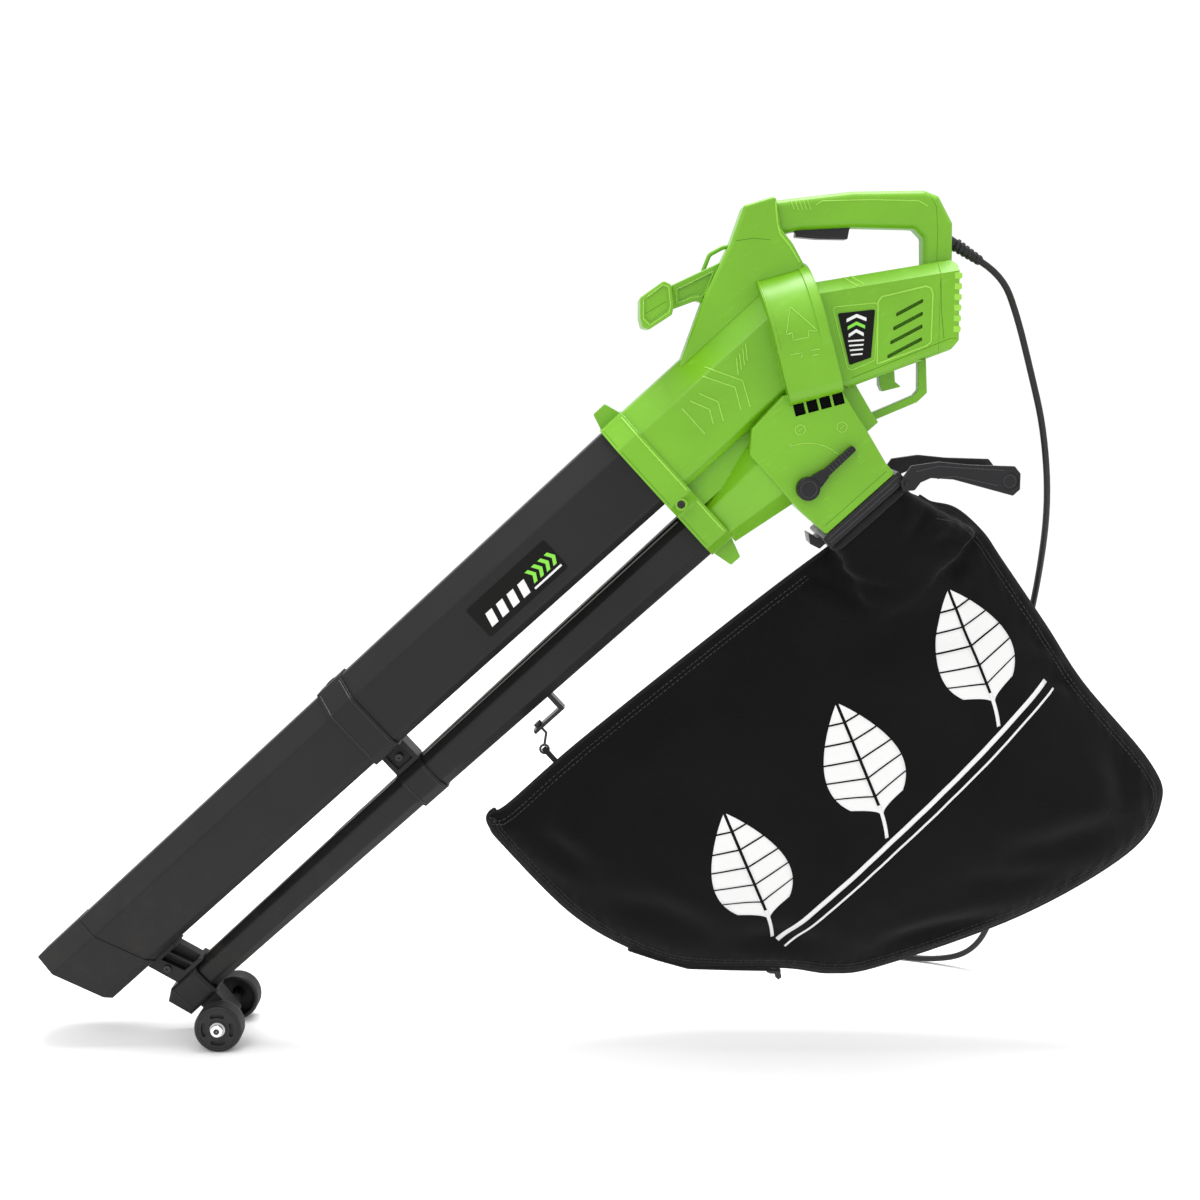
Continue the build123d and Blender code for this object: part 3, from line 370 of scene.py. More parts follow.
# Paler copies of the finishes for raised lines: their colour is a painted highlight on the ridges.
RIDGE_HIGHLIGHT = {
    "green_plastic": moulded("green_ridge_highlight", (0.28, 0.60, 0.045), (0.45, 0.76, 0.15), 0.36, 0.08),
    "grip_plastic": moulded("grip_ridge_highlight", (0.27, 0.59, 0.04), (0.45, 0.76, 0.15), 0.4, 0.12),
    "tube_plastic": moulded("tube_ridge", (0.008, 0.0076, 0.0076), (0.05, 0.048, 0.045), 0.38, 0.1, 0.4),
    "dark_plastic": moulded("dark_ridge_highlight", (0.012, 0.011, 0.014), (0.08, 0.075, 0.085), 0.3, 0.1, 0.5),
}
# Pale colour for the small tube's edge beads: a painted highlight.
EDGE_HIGHLIGHT = moulded("painted_edge_highlight", (0.13, 0.12, 0.105), (0.3, 0.28, 0.25), 0.4, 0.15, 0.4)
BLACKENED = metal("blackened_steel", (0.05, 0.048, 0.045), 0.45)
THREAD = woven("thread", (0.018, 0.018, 0.018), (0.05, 0.05, 0.048), 0.4, 0.2, 0.2)


def finish_frame():
    """Every CAD node gets its slot's material."""
    for part in frame["record"]["subparts"]:
        mesh = NODES[part["node"]].data
        mesh.materials.clear()
        dull = part["node"] in ("screws", "bag_hook")
        mesh.materials.append(BLACKENED if dull else MATERIALS[part["material_slot"]])


# Mesh helpers


def link(name, data):
    """New object in the scene."""
    made = bpy.data.objects.new(name, data)
    bpy.context.scene.collection.objects.link(made)
    return made


def piece(name, verts, faces, slot, body="root", smooth=False, material=None):
    """Object from points in metres, riding on a body, in its slot's material or one of its own."""
    mesh = bpy.data.meshes.new(name)
    mesh.from_pydata(verts, [], faces)
    made = bmesh.new()
    made.from_mesh(mesh)
    bmesh.ops.recalc_face_normals(made, faces=made.faces)
    made.to_mesh(mesh)
    made.free()
    mesh.materials.append(material or MATERIALS[slot])
    mesh.polygons.foreach_set("use_smooth", [smooth] * len(mesh.polygons))
    return place(name, mesh, slot, body)


def place(name, data, slot, body="root"):
    """New object that rides on a body; its slot is not used."""
    made = link(name, data)
    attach(made, body)
    return made


def soften(obj, width, segments=2):
    """Round the sharp edges of a piece."""
    made = obj.modifiers.new("soften", "BEVEL")
    made.width = width * MM
    made.segments = segments
    made.limit_method = "ANGLE"
    made.angle_limit = math.radians(35.0)
    made.harden_normals = True
    return obj


def loft(rings, loop=False):
    """Points and faces of a skin over rings that have the same number of points."""
    count = len(rings[0])
    verts = [p for ring in rings for p in ring]
    faces = []
    spans = len(rings) if loop else len(rings) - 1
    for i in range(spans):
        a, b = i * count, ((i + 1) % len(rings)) * count
        faces += [(a + j, a + (j + 1) % count, b + (j + 1) % count, b + j) for j in range(count)]
    if not loop:
        faces.append(tuple(range(count)))
        faces.append(tuple((len(rings) - 1) * count + j for j in range(count)))
    return verts, faces


def lofted(name, rings, slot, **finish):
    """Piece that is one skin over rings."""
    return piece(name, *loft(rings), slot, **finish)


class Build:
    """Points and faces gathered for one piece."""

    def __init__(self):
        self.verts = []
        self.faces = []

    def add(self, verts, faces):
        base = len(self.verts)
        self.verts += [Vector(v) for v in verts]
        self.faces += [tuple(base + i for i in face) for face in faces]

    def prism(self, outline, y_from, y_to):
        """Side outline in millimetres, solid between two values of Y."""
        self.add(*loft([[beside(spot, y) for spot in outline] for y in (y_from, y_to)]))

    def turned(self, centre, profile, count):
        """Body of revolution about Y through a side place, from (radius, y) points."""
        rings = []
        for i in range(count):
            t = 2 * math.pi * i / count
            c, d = math.cos(t), math.sin(t)
            rings.append([metres(centre[0] + r * c, y, centre[1] + r * d) for r, y in profile])
        self.add(*loft(rings, loop=True))

    def done(self, name, slot, **finish):
        return piece(name, self.verts, self.faces, slot, **finish)


def ray_tree(meshes):
    """Ray-cast tree over meshes."""
    verts, faces = [], []
    for mesh in meshes:
        base = len(verts)
        verts += [v.co.copy() for v in mesh.vertices]
        faces += [[base + i for i in p.vertices] for p in mesh.polygons]
    return BVHTree.FromPolygons(verts, faces)


def skin(*names):
    """Ray-cast tree of CAD nodes."""
    return ray_tree(NODES[name].data for name in names)


def touch(tree, spot, side):
    """Where a line along Y, from outside, first meets the skin, and the outward normal there."""
    hit, normal, _, _ = tree.ray_cast(beside(spot, side * 400), Vector((0, -side, 0)))
    if hit is not None and normal.y * side < 0:
        normal = -normal
    return hit, normal


def lines_on(build, tree, lines, width, height, sides=BOTH):
    """Raised lines that follow a skin, from outlines of side places."""
    profile = [(-width / 2, -0.4), (-width * 0.28, height), (width * 0.28, height), (width / 2, -0.4)]
    for side in sides:
        for line in lines:
            spots = [touch(tree, p, side) for p in spread(line)]
            spots = [(hit, normal) for hit, normal in spots if hit is not None]
            if len(spots) < 2:
                continue
            rings = []
            for i, (hit, normal) in enumerate(spots):
                ahead = spots[min(i + 1, len(spots) - 1)][0]
                behind = spots[max(i - 1, 0)][0]
                across = normal.cross(ahead - behind).normalized()
                rings.append([hit + across * (a * MM) + normal * (u * MM) for a, u in profile])
            build.add(*loft(rings))


def raised(name, nodes, lines, width, height, sides=BOTH, slot="green_plastic", body="root"):
    """Raised lines on CAD nodes, as one piece in a paler copy of the nodes' finish, a painted highlight on
    the ridges.
    """
    build = Build()
    lines_on(build, skin(*nodes), lines, width, height, sides)
    build.done(name, slot, body=body, material=RIDGE_HIGHLIGHT[slot])


def grooves(name, nodes, lines, width, slot="green_plastic"):
    """Dark seam lines on CAD nodes: painted shadow in the seams."""
    build = Build()
    lines_on(build, skin(*nodes), lines, width, 0.06)
    build.done(name, slot, material=GROOVE)


def closed(points):
    """The points with the first one again at the end."""
    return points + points[:1]


# Camera, light and floor


def camera():
    """Camera at the photograph's angle."""
    data = bpy.data.cameras.new("camera")
    data.lens = 49.5
    data.sensor_width = 36.0
    data.clip_end = 50.0
    made = link("camera", data)
    made.location = (-0.2636, -1.733, -0.1404)
    made.rotation_euler = (math.radians(81.4), 0, 0)
    bpy.context.scene.camera = made


def softbox(name, location, target, width, height, power):
    """Rectangular area light that looks at a target."""
    data = bpy.data.lights.new(name, "AREA")
    data.shape = "RECTANGLE"
    data.size = width
    data.size_y = height
    data.energy = power
    made = link(name, data)
    made.location = location
    aim = Vector(target) - Vector(location)
    made.rotation_euler = aim.to_track_quat("-Z", "Y").to_euler()


def studio():
    """Even white surroundings, a softbox overhead, a wide one in front, and a pale floor."""
    scene = bpy.context.scene
    scene.view_settings.view_transform = "Standard"
    world = bpy.data.worlds.new("studio")
    world.use_nodes = True
    background = world.node_tree.nodes["Background"]
    background.inputs["Color"].default_value = (1, 1, 1, 1)
    background.inputs["Strength"].default_value = 1.05
    scene.world = world
    softbox("overhead", (-0.2, 0.35, 1.9), (-0.2, 0.0, -0.3), 1.8, 1.0, 62)
    softbox("front", (-1.3, -2.0, 1.6), (-0.2, 0.0, -0.35), 1.4, 1.4, 16)
    half = 30.0
    mesh = bpy.data.meshes.new("floor")
    level = FLOOR * MM - 0.0004
    corners = [(-half, -half, level), (half, -half, level), (half, half, level), (-half, half, level)]
    mesh.from_pydata(corners, [], [(0, 1, 2, 3)])
    g = Graph("floor_paper", Specular_IOR_Level=0.0)
    cover = g.mix(g.noise(3.0, 3.0), (0.955, 0.955, 0.955), (0.97, 0.97, 0.97))
    mesh.materials.append(g.finish(cover, 0.9, g.bump(g.noise(300.0, 3.0), 0.03, 0.0002)))
    link("floor", mesh)


# Mains lead


CORD_D = 7.0
CORD_ROUTE = [
    (128.5, 0, -49.7), (151.5, 0, -63.9), (168, 0, -104), (184, 0, -160), (201, 1, -222), (214, 20, -300),
    (218, 58, -380), (214, 95, -465), (208, 122, -560), (206, 138, -660), (208, 150, -755), (204, 166, -825),
    (184, 186, -866), (146, 208, -881.7), (100, 224, -881.7), (56, 234, -881.7), (12, 239.5, -881.7),
]
COIL_CENTRE = (10.0, 295.5)
COIL_INNER = 35.0
COIL_OUTER = 56.0
PLUG_START = (30.0, 358.5, -876.0)
PER_TURN = 16


def coil_points():
    """Control points of the wound lead: four layers of side-by-side turns, then one and a half outside."""
    turns = (COIL_OUTER - COIL_INNER) / CORD_D
    path = []
    lift = 1.2 + CORD_D / 2
    for layer in range(4):
        inwards = layer % 2 == 0
        start, end = (COIL_OUTER, COIL_INNER) if inwards else (COIL_INNER, COIL_OUTER)
        level = lift + CORD_D * layer
        steps = int(turns * PER_TURN)
        path += [(start + (end - start) * i / steps, level) for i in range(1, steps + 1)]
        if layer < 3:
            path += [(end, level + CORD_D * i / PER_TURN) for i in range(1, PER_TURN + 1)]
    top = path[-1][1]
    crossing = 2 * CORD_D - 3.1 + CORD_D / 2 - 3.0
    last = PLUG_START[2] - FLOOR
    outside = COIL_OUTER + CORD_D
    for i in range(1, PER_TURN + 1):
        path.append((COIL_OUTER + CORD_D * min(1.0, i / 4), top + (crossing - top) * i / PER_TURN))
    half = PER_TURN // 2
    path += [(outside, crossing + (last - crossing) * i / half) for i in range(1, half + 1)]
    pull = math.cos(math.pi / PER_TURN) ** 0.9
    points = []
    for i, (radius, level) in enumerate(path, 1):
        t = -math.pi / 2 - 2 * math.pi * i / PER_TURN
        x = COIL_CENTRE[0] + radius / pull * math.cos(t)
        y = COIL_CENTRE[1] + radius / pull * math.sin(t)
        points.append((x, y, FLOOR + level))
    return points


def mains_lead():
    """The lead as one NURBS spline, from its boot to its plug, with its coil tie."""
    data = bpy.data.curves.new("mains_lead", "CURVE")
    data.dimensions = "3D"
    data.bevel_depth = CORD_D / 2 * MM
    data.bevel_resolution = 4
    data.resolution_u = 6
    data.use_fill_caps = True
    points = CORD_ROUTE + coil_points() + [(20.0, PLUG_START[1], PLUG_START[2]), PLUG_START]
    spline = data.splines.new("NURBS")
    spline.points.add(len(points) - 1)
    for point, spot in zip(spline.points, points):
        point.co = (*metres(*spot), 1.0)
    spline.order_u = 3
    spline.use_endpoint_u = True
    data.materials.append(MATERIALS["cord_rubber"])
    lead = place("mains_lead", data, "cord_rubber")
    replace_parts(lead, "power_cord", "cord_coil")
    tie = cord_tie()


def cord_tie():
    """Hook-and-loop strap round the coil's bundle, with its end folded over."""
    gap = 1.0
    y_from = COIL_CENTRE[1] + COIL_INNER - CORD_D / 2 - gap
    y_to = COIL_CENTRE[1] + COIL_OUTER + CORD_D * 1.5 + gap
    z_from, z_to = FLOOR + 0.6, FLOOR + 31.0
    centre = ((y_from + y_to) / 2, (z_from + z_to) / 2)
    half = ((y_to - y_from) / 2, (z_to - z_from) / 2)
    section = ((-0.5, 2.0), (0.6, 2.0), (0.6, 18.0), (-0.5, 18.0))
    rings = []
    for c, d in squarish(48, 0.45):
        rings.append([metres(x, centre[0] + c * (half[0] + reach), centre[1] + d * (half[1] + reach))
                      for reach, x in section])
    build = Build()
    build.add(*loft(rings, loop=True))
    top = centre[1] + half[1] + 0.6
    tab = [(3.0, top), (3.0, top + 1.2), (17.0, top + 1.2), (17.0, top)]
    build.prism(tab, centre[0] - 9, centre[0] + 12)
    tie = soften(build.done("coil_tie", "cord_rubber", material=MATERIALS["webbing"]), 0.3)
    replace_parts(tie, "cord_tie")
    return tie


# Leaf bag


BAG_CENTRE = np.array((-20.0, -600.0))
BAG_SEAM = 3.0
BAG_PUFF = 47.0
BAG_EDGE = 150.0  # distance from the seam over which the bag fills out
BAG_OUTLINE = [
    (52, -292), (86, -299), (112, -306), (140, -330), (160, -358), (210, -429), (253, -492), (329, -580),
    (342, -625), (309, -680), (196, -750), (46, -807), (-10, -816), (-61, -810), (-167, -808), (-234, -786),
    (-298, -745), (-370, -669), (-383, -651), (-386, -640), (-379, -632), (-365, -628), (-285, -556),
    (-123, -424), (-30, -352),
]
SPIGOT_S = 198.5
COLLAR_FACE = -233.2
# Sections of the neck: their places along n, their lengths along s and their widths
NECK = [
    (COLLAR_FACE, 98, 104), (-240, 96, 101), (-248, 97, 98), (-262, 104, 97), (-285, 118, 96),
    (-330, 150, 84),
]
VOXEL = 0.005
CLOTH = {
    "quality": 5,
    "mass": 0.3,
    "tension_stiffness": 20,
    "compression_stiffness": 12,
    "shear_stiffness": 6,
    "bending_stiffness": 0.3,
    "use_pressure": True,
    "uniform_pressure_force": 4.0,
}
SIM_FRAMES = 20
SIM_CAP = 0.014
# Folds: side places, half width and depth in millimetres
FOLDS = [
    ([(-57, -370), (-20, -384), (14, -402)], 9, 6.5),
    ([(-30, -362), (8, -380), (45, -388)], 6, 4.0),
    ([(51, -339), (68, -318), (78, -298)], 9, 6.0),
    ([(64, -338), (95, -334), (122, -340)], 7, 4.0),
    ([(-86, -455), (-30, -452), (18, -444), (95, -432), (173, -417)], 20, 5.5),
    ([(94, -376), (108, -366), (121, -360)], 9, 3.5),
    ([(30, -425), (90, -402), (140, -380)], 12, 3.0),
    ([(190, -444), (210, -445), (228, -450)], 9, 4.0),
    ([(205, -480), (228, -486), (246, -496)], 8, 3.5),
    ([(151, -676), (215, -664), (288, -643)], 16, 5.0),
    ([(120, -700), (180, -702), (240, -690)], 13, 4.0),
    ([(30, -785), (80, -765), (165, -748)], 11, 4.0),
    ([(-332, -645), (-318, -612), (-296, -585)], 10, 4.0),
    ([(-350, -640), (-318, -660), (-280, -690)], 12, 4.0),
    ([(-253, -560), (-190, -520), (-120, -478)], 22, 4.0),
    ([(-260, -720), (-200, -736), (-140, -770)], 16, 4.5),
    ([(-120, -770), (-70, -762), (-20, -780)], 14, 3.5),
    ([(280, -560), (290, -590), (300, -630)], 14, 4.0),
]


def seam_loop(per_span):
    """The bag's seam as a closed line of side places."""
    return closed([(p.x, p.y) for p in smooth_loop(BAG_OUTLINE, per_span)])


def distance_to(points, line):
    """Distance from each point to a polyline, and how far along the line, from 0 to 1, it is nearest."""
    nearest = np.full(len(points), 1e9)
    along = np.zeros(len(points))
    line = np.array(line, float)
    lengths = np.linalg.norm(np.diff(line, axis=0), axis=1)
    total = lengths.sum()
    done = 0.0
    for a, b, length in zip(line, line[1:], lengths):
        step = b - a
        share = np.clip(((points - a) @ step) / (length * length), 0, 1)
        gap = np.linalg.norm(points - (a + share[:, None] * step), axis=1)
        closer = gap < nearest
        nearest = np.where(closer, gap, nearest)
        along = np.where(closer, (done + share * length) / total, along)
        done += length
    return nearest, along


def bag_cage():
    """Pillow of the bag and the loft of its neck, as two closed skins."""
    ring_line = seam_loop(6)
    outline = np.array(ring_line[:-1])
    shares = (1.0, 0.985, 0.96, 0.92, 0.86, 0.78, 0.68, 0.56, 0.42, 0.25, 0.1)
    sides = {}
    for side in BOTH:
        rings = []
        for share in shares:
            flat = BAG_CENTRE + (outline - BAG_CENTRE) * share
            depth, _ = distance_to(flat, ring_line)
            fill = np.sin(np.pi / 2 * np.minimum(depth / BAG_EDGE, 1)) ** 0.8
            sag = 0.86 + 0.22 * np.clip((-380 - flat[:, 1]) / 350, 0, 1)
            puff = BAG_SEAM + BAG_PUFF * fill * sag
            rings.append([beside(spot, side * y) for spot, y in zip(flat, puff)])
        sides[side] = rings
    build = Build()
    build.add(*loft(sides[-1][::-1] + sides[1]))
    rings = []
    for n, length, width in NECK:
        rings.append([beside(tube(SPIGOT_S + c * length / 2, n), d * width / 2)
                      for c, d in squarish(40, 0.4)])
    build.add(*loft(rings))
    return build.done("leaf_bag_cloth", "bag_cloth", smooth=True)


def evaluated(obj):
    """The object with its modifiers' result."""
    return obj.evaluated_get(bpy.context.evaluated_depsgraph_get())


def remesh(obj):
    """Replace a piece's mesh by its voxel remesh."""
    made = obj.modifiers.new("voxels", "REMESH")
    made.mode = "VOXEL"
    made.voxel_size = VOXEL
    made.use_smooth_shade = True
    bpy.context.view_layer.update()
    fresh = bpy.data.meshes.new_from_object(evaluated(obj))
    obj.modifiers.remove(made)
    old = obj.data
    obj.data = fresh
    fresh.materials.clear()
    fresh.materials.append(old.materials[0])


def values(mesh, what):
    """The points or normals of a mesh, one row each."""
    flat = np.empty(len(mesh.vertices) * 3)
    mesh.vertices.foreach_get(what, flat)
    return flat.reshape(-1, 3)


def neck_reach(points):
    """How far along the tubes' n a bag point is, in millimetres."""
    return (points[:, 0] * -math.sin(TUBE_ANGLE) + points[:, 2] * math.cos(TUBE_ANGLE)) / MM


def inflate(obj):
    """Cloth simulation: air pressure in the bag, held at its seam and at its neck."""
    mesh = obj.data
    points = values(mesh, "co")
    seam, _ = distance_to(points[:, (0, 2)] / MM, seam_loop(4))
    held = (neck_reach(points) > -252) | ((seam < 9) & (np.abs(points[:, 1]) < 0.012))
    group = obj.vertex_groups.new(name="held")
    group.add([int(i) for i in np.nonzero(held)[0]], 1.0, "REPLACE")
    cloth = obj.modifiers.new("cloth", "CLOTH")
    for name, value in CLOTH.items():
        setattr(cloth.settings, name, value)
    cloth.settings.vertex_group_mass = "held"
    cloth.settings.effector_weights.gravity = 0.0
    cloth.point_cache.frame_start = 1
    cloth.point_cache.frame_end = SIM_FRAMES
    scene = bpy.context.scene
    for step in range(1, SIM_FRAMES + 1):
        scene.frame_set(step)
    blown = values(evaluated(obj).data, "co")
    obj.modifiers.remove(cloth)
    scene.frame_set(1)
    move = blown - points
    length = np.linalg.norm(move, axis=1, keepdims=True)
    move *= np.minimum(1.0, SIM_CAP / np.maximum(length, 1e-9))
    mesh.vertices.foreach_set("co", (points + move).ravel())
    mesh.update()


def fold(obj):
    """Creases pressed into the bag and slow undulations of slack cloth."""
    mesh = obj.data
    points = values(mesh, "co")
    normals = values(mesh, "normal")
    flat = points[:, (0, 2)] / MM
    shift = np.zeros(len(points))
    for line, width, depth in FOLDS:
        gap, along = distance_to(flat, line)
        taper = np.sin(np.pi * np.clip(along, 0.03, 0.97)) ** 0.7
        crease = np.exp(-((gap / width) ** 2))
        swell = np.exp(-(((gap - 2.0 * width) / width) ** 2))
        press = depth * (0.45 * swell - 1.35 * crease)
        for side in BOTH:
            shift += np.where(normals[:, 1] * side > 0.15, press * taper, 0.0)
    seam, _ = distance_to(flat, seam_loop(4))
    for i, point in enumerate(points):
        x, y, z = point
        slack = noise.noise(Vector((x * 9, y * 14, z * 9 + 3.1)))
        fine = noise.noise(Vector((x * 34 + z * 20, y * 20, z * 26 - 7.7)))
        shift[i] += 3.0 * slack + 1.1 * fine
    puckers = np.sin(flat[:, 0] * 0.42 + 2.0 * np.sin(flat[:, 1] * 0.05)) * np.exp(-((seam - 10) / 9) ** 2)
    shift += 1.2 * puckers
    ease = np.clip((seam - 2) / 14, 0, 1) * np.clip((-240 - neck_reach(points)) / 16, 0, 1)
    points += normals * (shift * ease * MM)[:, None]
    mesh.vertices.foreach_set("co", points.ravel())
    mesh.update()


def leaf_bag():
    """Leaf bag as one cloth skin with its seams, zip, stitching and print."""
    bag = bag_cage()
    remesh(bag)
    inflate(bag)
    fold(bag)
    finer = bag.modifiers.new("finer", "SUBSURF")
    finer.levels = 1
    finer.render_levels = 1
    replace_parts(bag, "leaf_bag")
    bpy.context.view_layer.update()
    tree = ray_tree([evaluated(bag).to_mesh()])
    bag_binding()
    bag_stitches(tree)
    bag_print(tree)
    bag_zip()
    neck_binding()


def seam_line(inset=0.0, per_span=8):
    """The bag's seam from one side of the collar round to the other, moved inwards by an inset."""
    outline = smooth_loop(BAG_OUTLINE, per_span)
    moved = []
    for before, spot, after in zip(outline[-1:] + outline, outline, outline[1:] + outline[:1]):
        step = after - before
        moved.append(spot + Vector((step.y, -step.x)).normalized() * inset)
    return [(p.x, p.y) for p in moved[4:-4]]


def bag_binding():
    """Folded tape sewn over the bag's seam all the way round."""
    line = seam_line()
    profile = [(2.6, -2.6), (2.9, 0), (2.6, 2.6), (0, 3.7), (-5, 3.5), (-6.2, 0), (-5, -3.5), (0, -3.7)]
    rings = []
    for i, spot in enumerate(line):
        step = heading(line, i)
        outwards = Vector((-step.y, step.x))
        wander = 0.5 * math.sin(0.21 * i) + 0.4 * math.sin(0.083 * i + 1.0)
        rings.append([beside(Vector(spot) + outwards * (out + 0.4 * wander - 1.6), y + wander)
                      for out, y in profile])
    lofted("bag_binding", rings, "webbing", smooth=True)


def stitch(build, hit, normal, direction):
    """One thread stitch lying on a surface."""
    length, width = 3.6, 0.8
    across = normal.cross(direction).normalized()
    rings = []
    for share, lift in ((-0.5, 0.0), (-0.3, 0.45), (0.3, 0.45), (0.5, 0.0)):
        middle = hit + direction * (length * share * MM) + normal * (lift * MM)
        ring = [middle + across * (a * width * MM) + normal * (u * width * MM)
                for a, u in ((-0.5, -0.2), (0, 0.45), (0.5, -0.2))]
        rings.append(ring)
    build.add(*loft(rings))


def bag_stitches(tree):
    """Two rows of stitches beside the bag's seam, on both sides."""
    build = Build()
    pitch = 6.0
    for inset in (9.0, 13.0):
        line = spread(seam_line(inset, 4), pitch)
        for side in BOTH:
            for a, b in zip(line, line[1:]):
                middle = ((a[0] + b[0]) / 2, (a[1] + b[1]) / 2)
                hit, normal = touch(tree, middle, side)
                if hit is None or math.dist(a, b) < 2.0:
                    continue
                direction = Vector((b[0] - a[0], 0, b[1] - a[1])).normalized()
                direction = (direction - normal * direction.dot(normal)).normalized()
                stitch(build, hit, normal, direction)
    build.done("bag_stitches", "bag_cloth", smooth=True, material=THREAD)


LEAF_LINE = ((-104.0, -690.0), (128.0, -455.0))
LEAF_COUNT = 3
LEAF_LENGTH = 128.0
LEAF_WIDTH = 84.0


def leaf_width(t):
    """Half width of the printed leaf at t along it, from its stem end to its tip."""
    return LEAF_WIDTH / 2 * math.sin(math.pi * t ** 0.72) ** 0.85


def draped(build, tree, grid):
    """Grid of side places laid on a skin as a thin film."""
    rows = []
    for row in grid:
        hits = [touch(tree, p, -1) for p in row]
        if any(hit is None for hit, _ in hits):
            return
        rows.append(hits)
    wide = len(rows[0])
    top = [hit + normal * 0.0006 for row in rows for hit, normal in row]
    bottom = [hit - normal * 0.0008 for row in rows for hit, normal in row]
    count = len(top)
    faces = []
    for i in range(len(rows) - 1):
        for j in range(wide - 1):
            a, b, c, d = i * wide + j, i * wide + j + 1, (i + 1) * wide + j + 1, (i + 1) * wide + j
            faces += [(a, b, c, d), (count + d, count + c, count + b, count + a)]
    last = len(rows) - 1
    rim = list(range(wide)) + [i * wide + wide - 1 for i in range(1, len(rows))]
    rim += [last * wide + j for j in range(wide - 2, -1, -1)] + [i * wide for i in range(last - 1, 0, -1)]
    faces += [(a, b, count + b, count + a) for a, b in zip(rim, rim[1:] + rim[:1])]
    build.add(top + bottom, faces)


def leaf_bands(origin, axis):
    """Grids of one leaf silhouette: lobes between its veins on both sides of the midrib, and its stem."""
    across = Vector((-axis.y, axis.x))
    bands = []
    veins = 6
    slant = 0.12
    for lobe in (-1, 1):
        for band in range(veins):
            t_from = band / veins + 0.008
            t_to = (band + 1) / veins - 0.008
            grid = []
            for i in range(7):
                t = t_from + (t_to - t_from) * i / 6
                row = []
                for j in range(9):
                    share = j / 8
                    lifted = min(0.995, t + slant * share * (1 - t))
                    reach = 1.6 + share * max(0.0, leaf_width(lifted) - 1.6)
                    p = origin + axis * (lifted * LEAF_LENGTH) + across * (lobe * reach)
                    row.append((p.x, p.y))
                grid.append(row)
            bands.append(grid)
    stem = []
    for i in range(9):
        p = origin + axis * ((-0.2 + 0.28 * i / 8) * LEAF_LENGTH) + across * (5 * (1 - i / 8) ** 2)
        stem.append([(p.x + across.x * w, p.y + across.y * w) for w in (-1.9, 1.9)])
    return bands + [stem]


def bag_print(tree):
    """Generic white print: a slanted row of leaf silhouettes with two bars below."""
    build = Build()
    start, end = (Vector(p) for p in LEAF_LINE)
    run = (end - start).normalized()
    up = Vector((-run.y, run.x))
    for i in range(LEAF_COUNT):
        middle = start + (end - start) * (i / (LEAF_COUNT - 1))
        axis = (up * 0.92 + run * 0.38).normalized()
        for grid in leaf_bands(middle - axis * LEAF_LENGTH * 0.42, axis):
            draped(build, tree, grid)
    for offset, thick in ((-78.0, 5.0), (-90.0, 2.2)):
        grid = []
        for i in range(61):
            p = start - run * 34 + (end - start + run * 68) * (i / 60) + up * offset
            grid.append([(p.x + up.x * w, p.y + up.y * w) for w in (-thick / 2, thick / 2)])
        draped(build, tree, grid)
    build.done("bag_print", "bag_cloth", smooth=True, material=WHITE_INK)


ZIP_LINE = [(-232, -789), (-200, -800), (-167, -809.5), (-120, -811), (-66, -812)]


def bag_zip():
    """Zip along the bag's lower seam: tape, two rows of teeth, slider and pull."""
    line = spread(ZIP_LINE, 3.0)
    teeth = Build()
    rings = []
    for i, spot in enumerate(line):
        step = heading(line, i)
        down = Vector((step.y, -step.x))
        rings.append([beside(Vector(spot) + down * drop, y)
                      for y, drop in ((-6.5, 0.2), (-6.5, 1.0), (6.5, 1.0), (6.5, 0.2))])
        y_low, y_high = (-2.6, 0.7) if i % 2 else (-0.7, 2.6)
        corners = [(-0.85, 0.8), (0.85, 0.8), (0.6, 2.6), (-0.6, 2.6)]
        teeth.prism([Vector(spot) + step * a + down * b for a, b in corners], y_low, y_high)
    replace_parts(lofted("zip_tape", rings, "zip", material=MATERIALS["webbing"]), "bag_zip")
    end = Vector(ZIP_LINE[-1])
    slider = [(-14, 0.2), (-1, -0.3), (1, 1.5), (0, 4.4), (-4, 5.0), (-11, 4.6), (-15, 2.8)]
    teeth.prism([(end.x + x, end.y - z) for x, z in slider], -4.2, 4.2)
    pull = [(-8, 4.0), (-4, 4.2), (-1, 7.0), (0, 14.0), (-3.5, 18.0), (-7.5, 14.0), (-9, 7.0)]
    teeth.prism([(end.x + 2 + x * 0.9, end.y - z * 0.72) for x, z in pull], -0.8, 0.8)
    soften(teeth.done("zip_teeth", "zip"), 0.25, 1)


def neck_binding():
    """Elastic hem where the bag's neck is gathered under the collar."""
    rings = []
    for n, grow in ((-233.6, 0.0), (-234.2, 1.2), (-237.5, 1.9), (-241.0, 1.2), (-242.0, -0.6)):
        ring = []
        for i, (c, d) in enumerate(squarish(160, 0.32)):
            gather = 0.5 * math.sin(math.pi / 2 * i) if grow > 0 else 0.0
            spot = tube(SPIGOT_S + c * (49.0 + grow + gather), n)
            ring.append(beside(spot, d * (51.5 + grow + gather)))
        rings.append(ring)
    lofted("neck_hem", rings, "webbing", smooth=True)


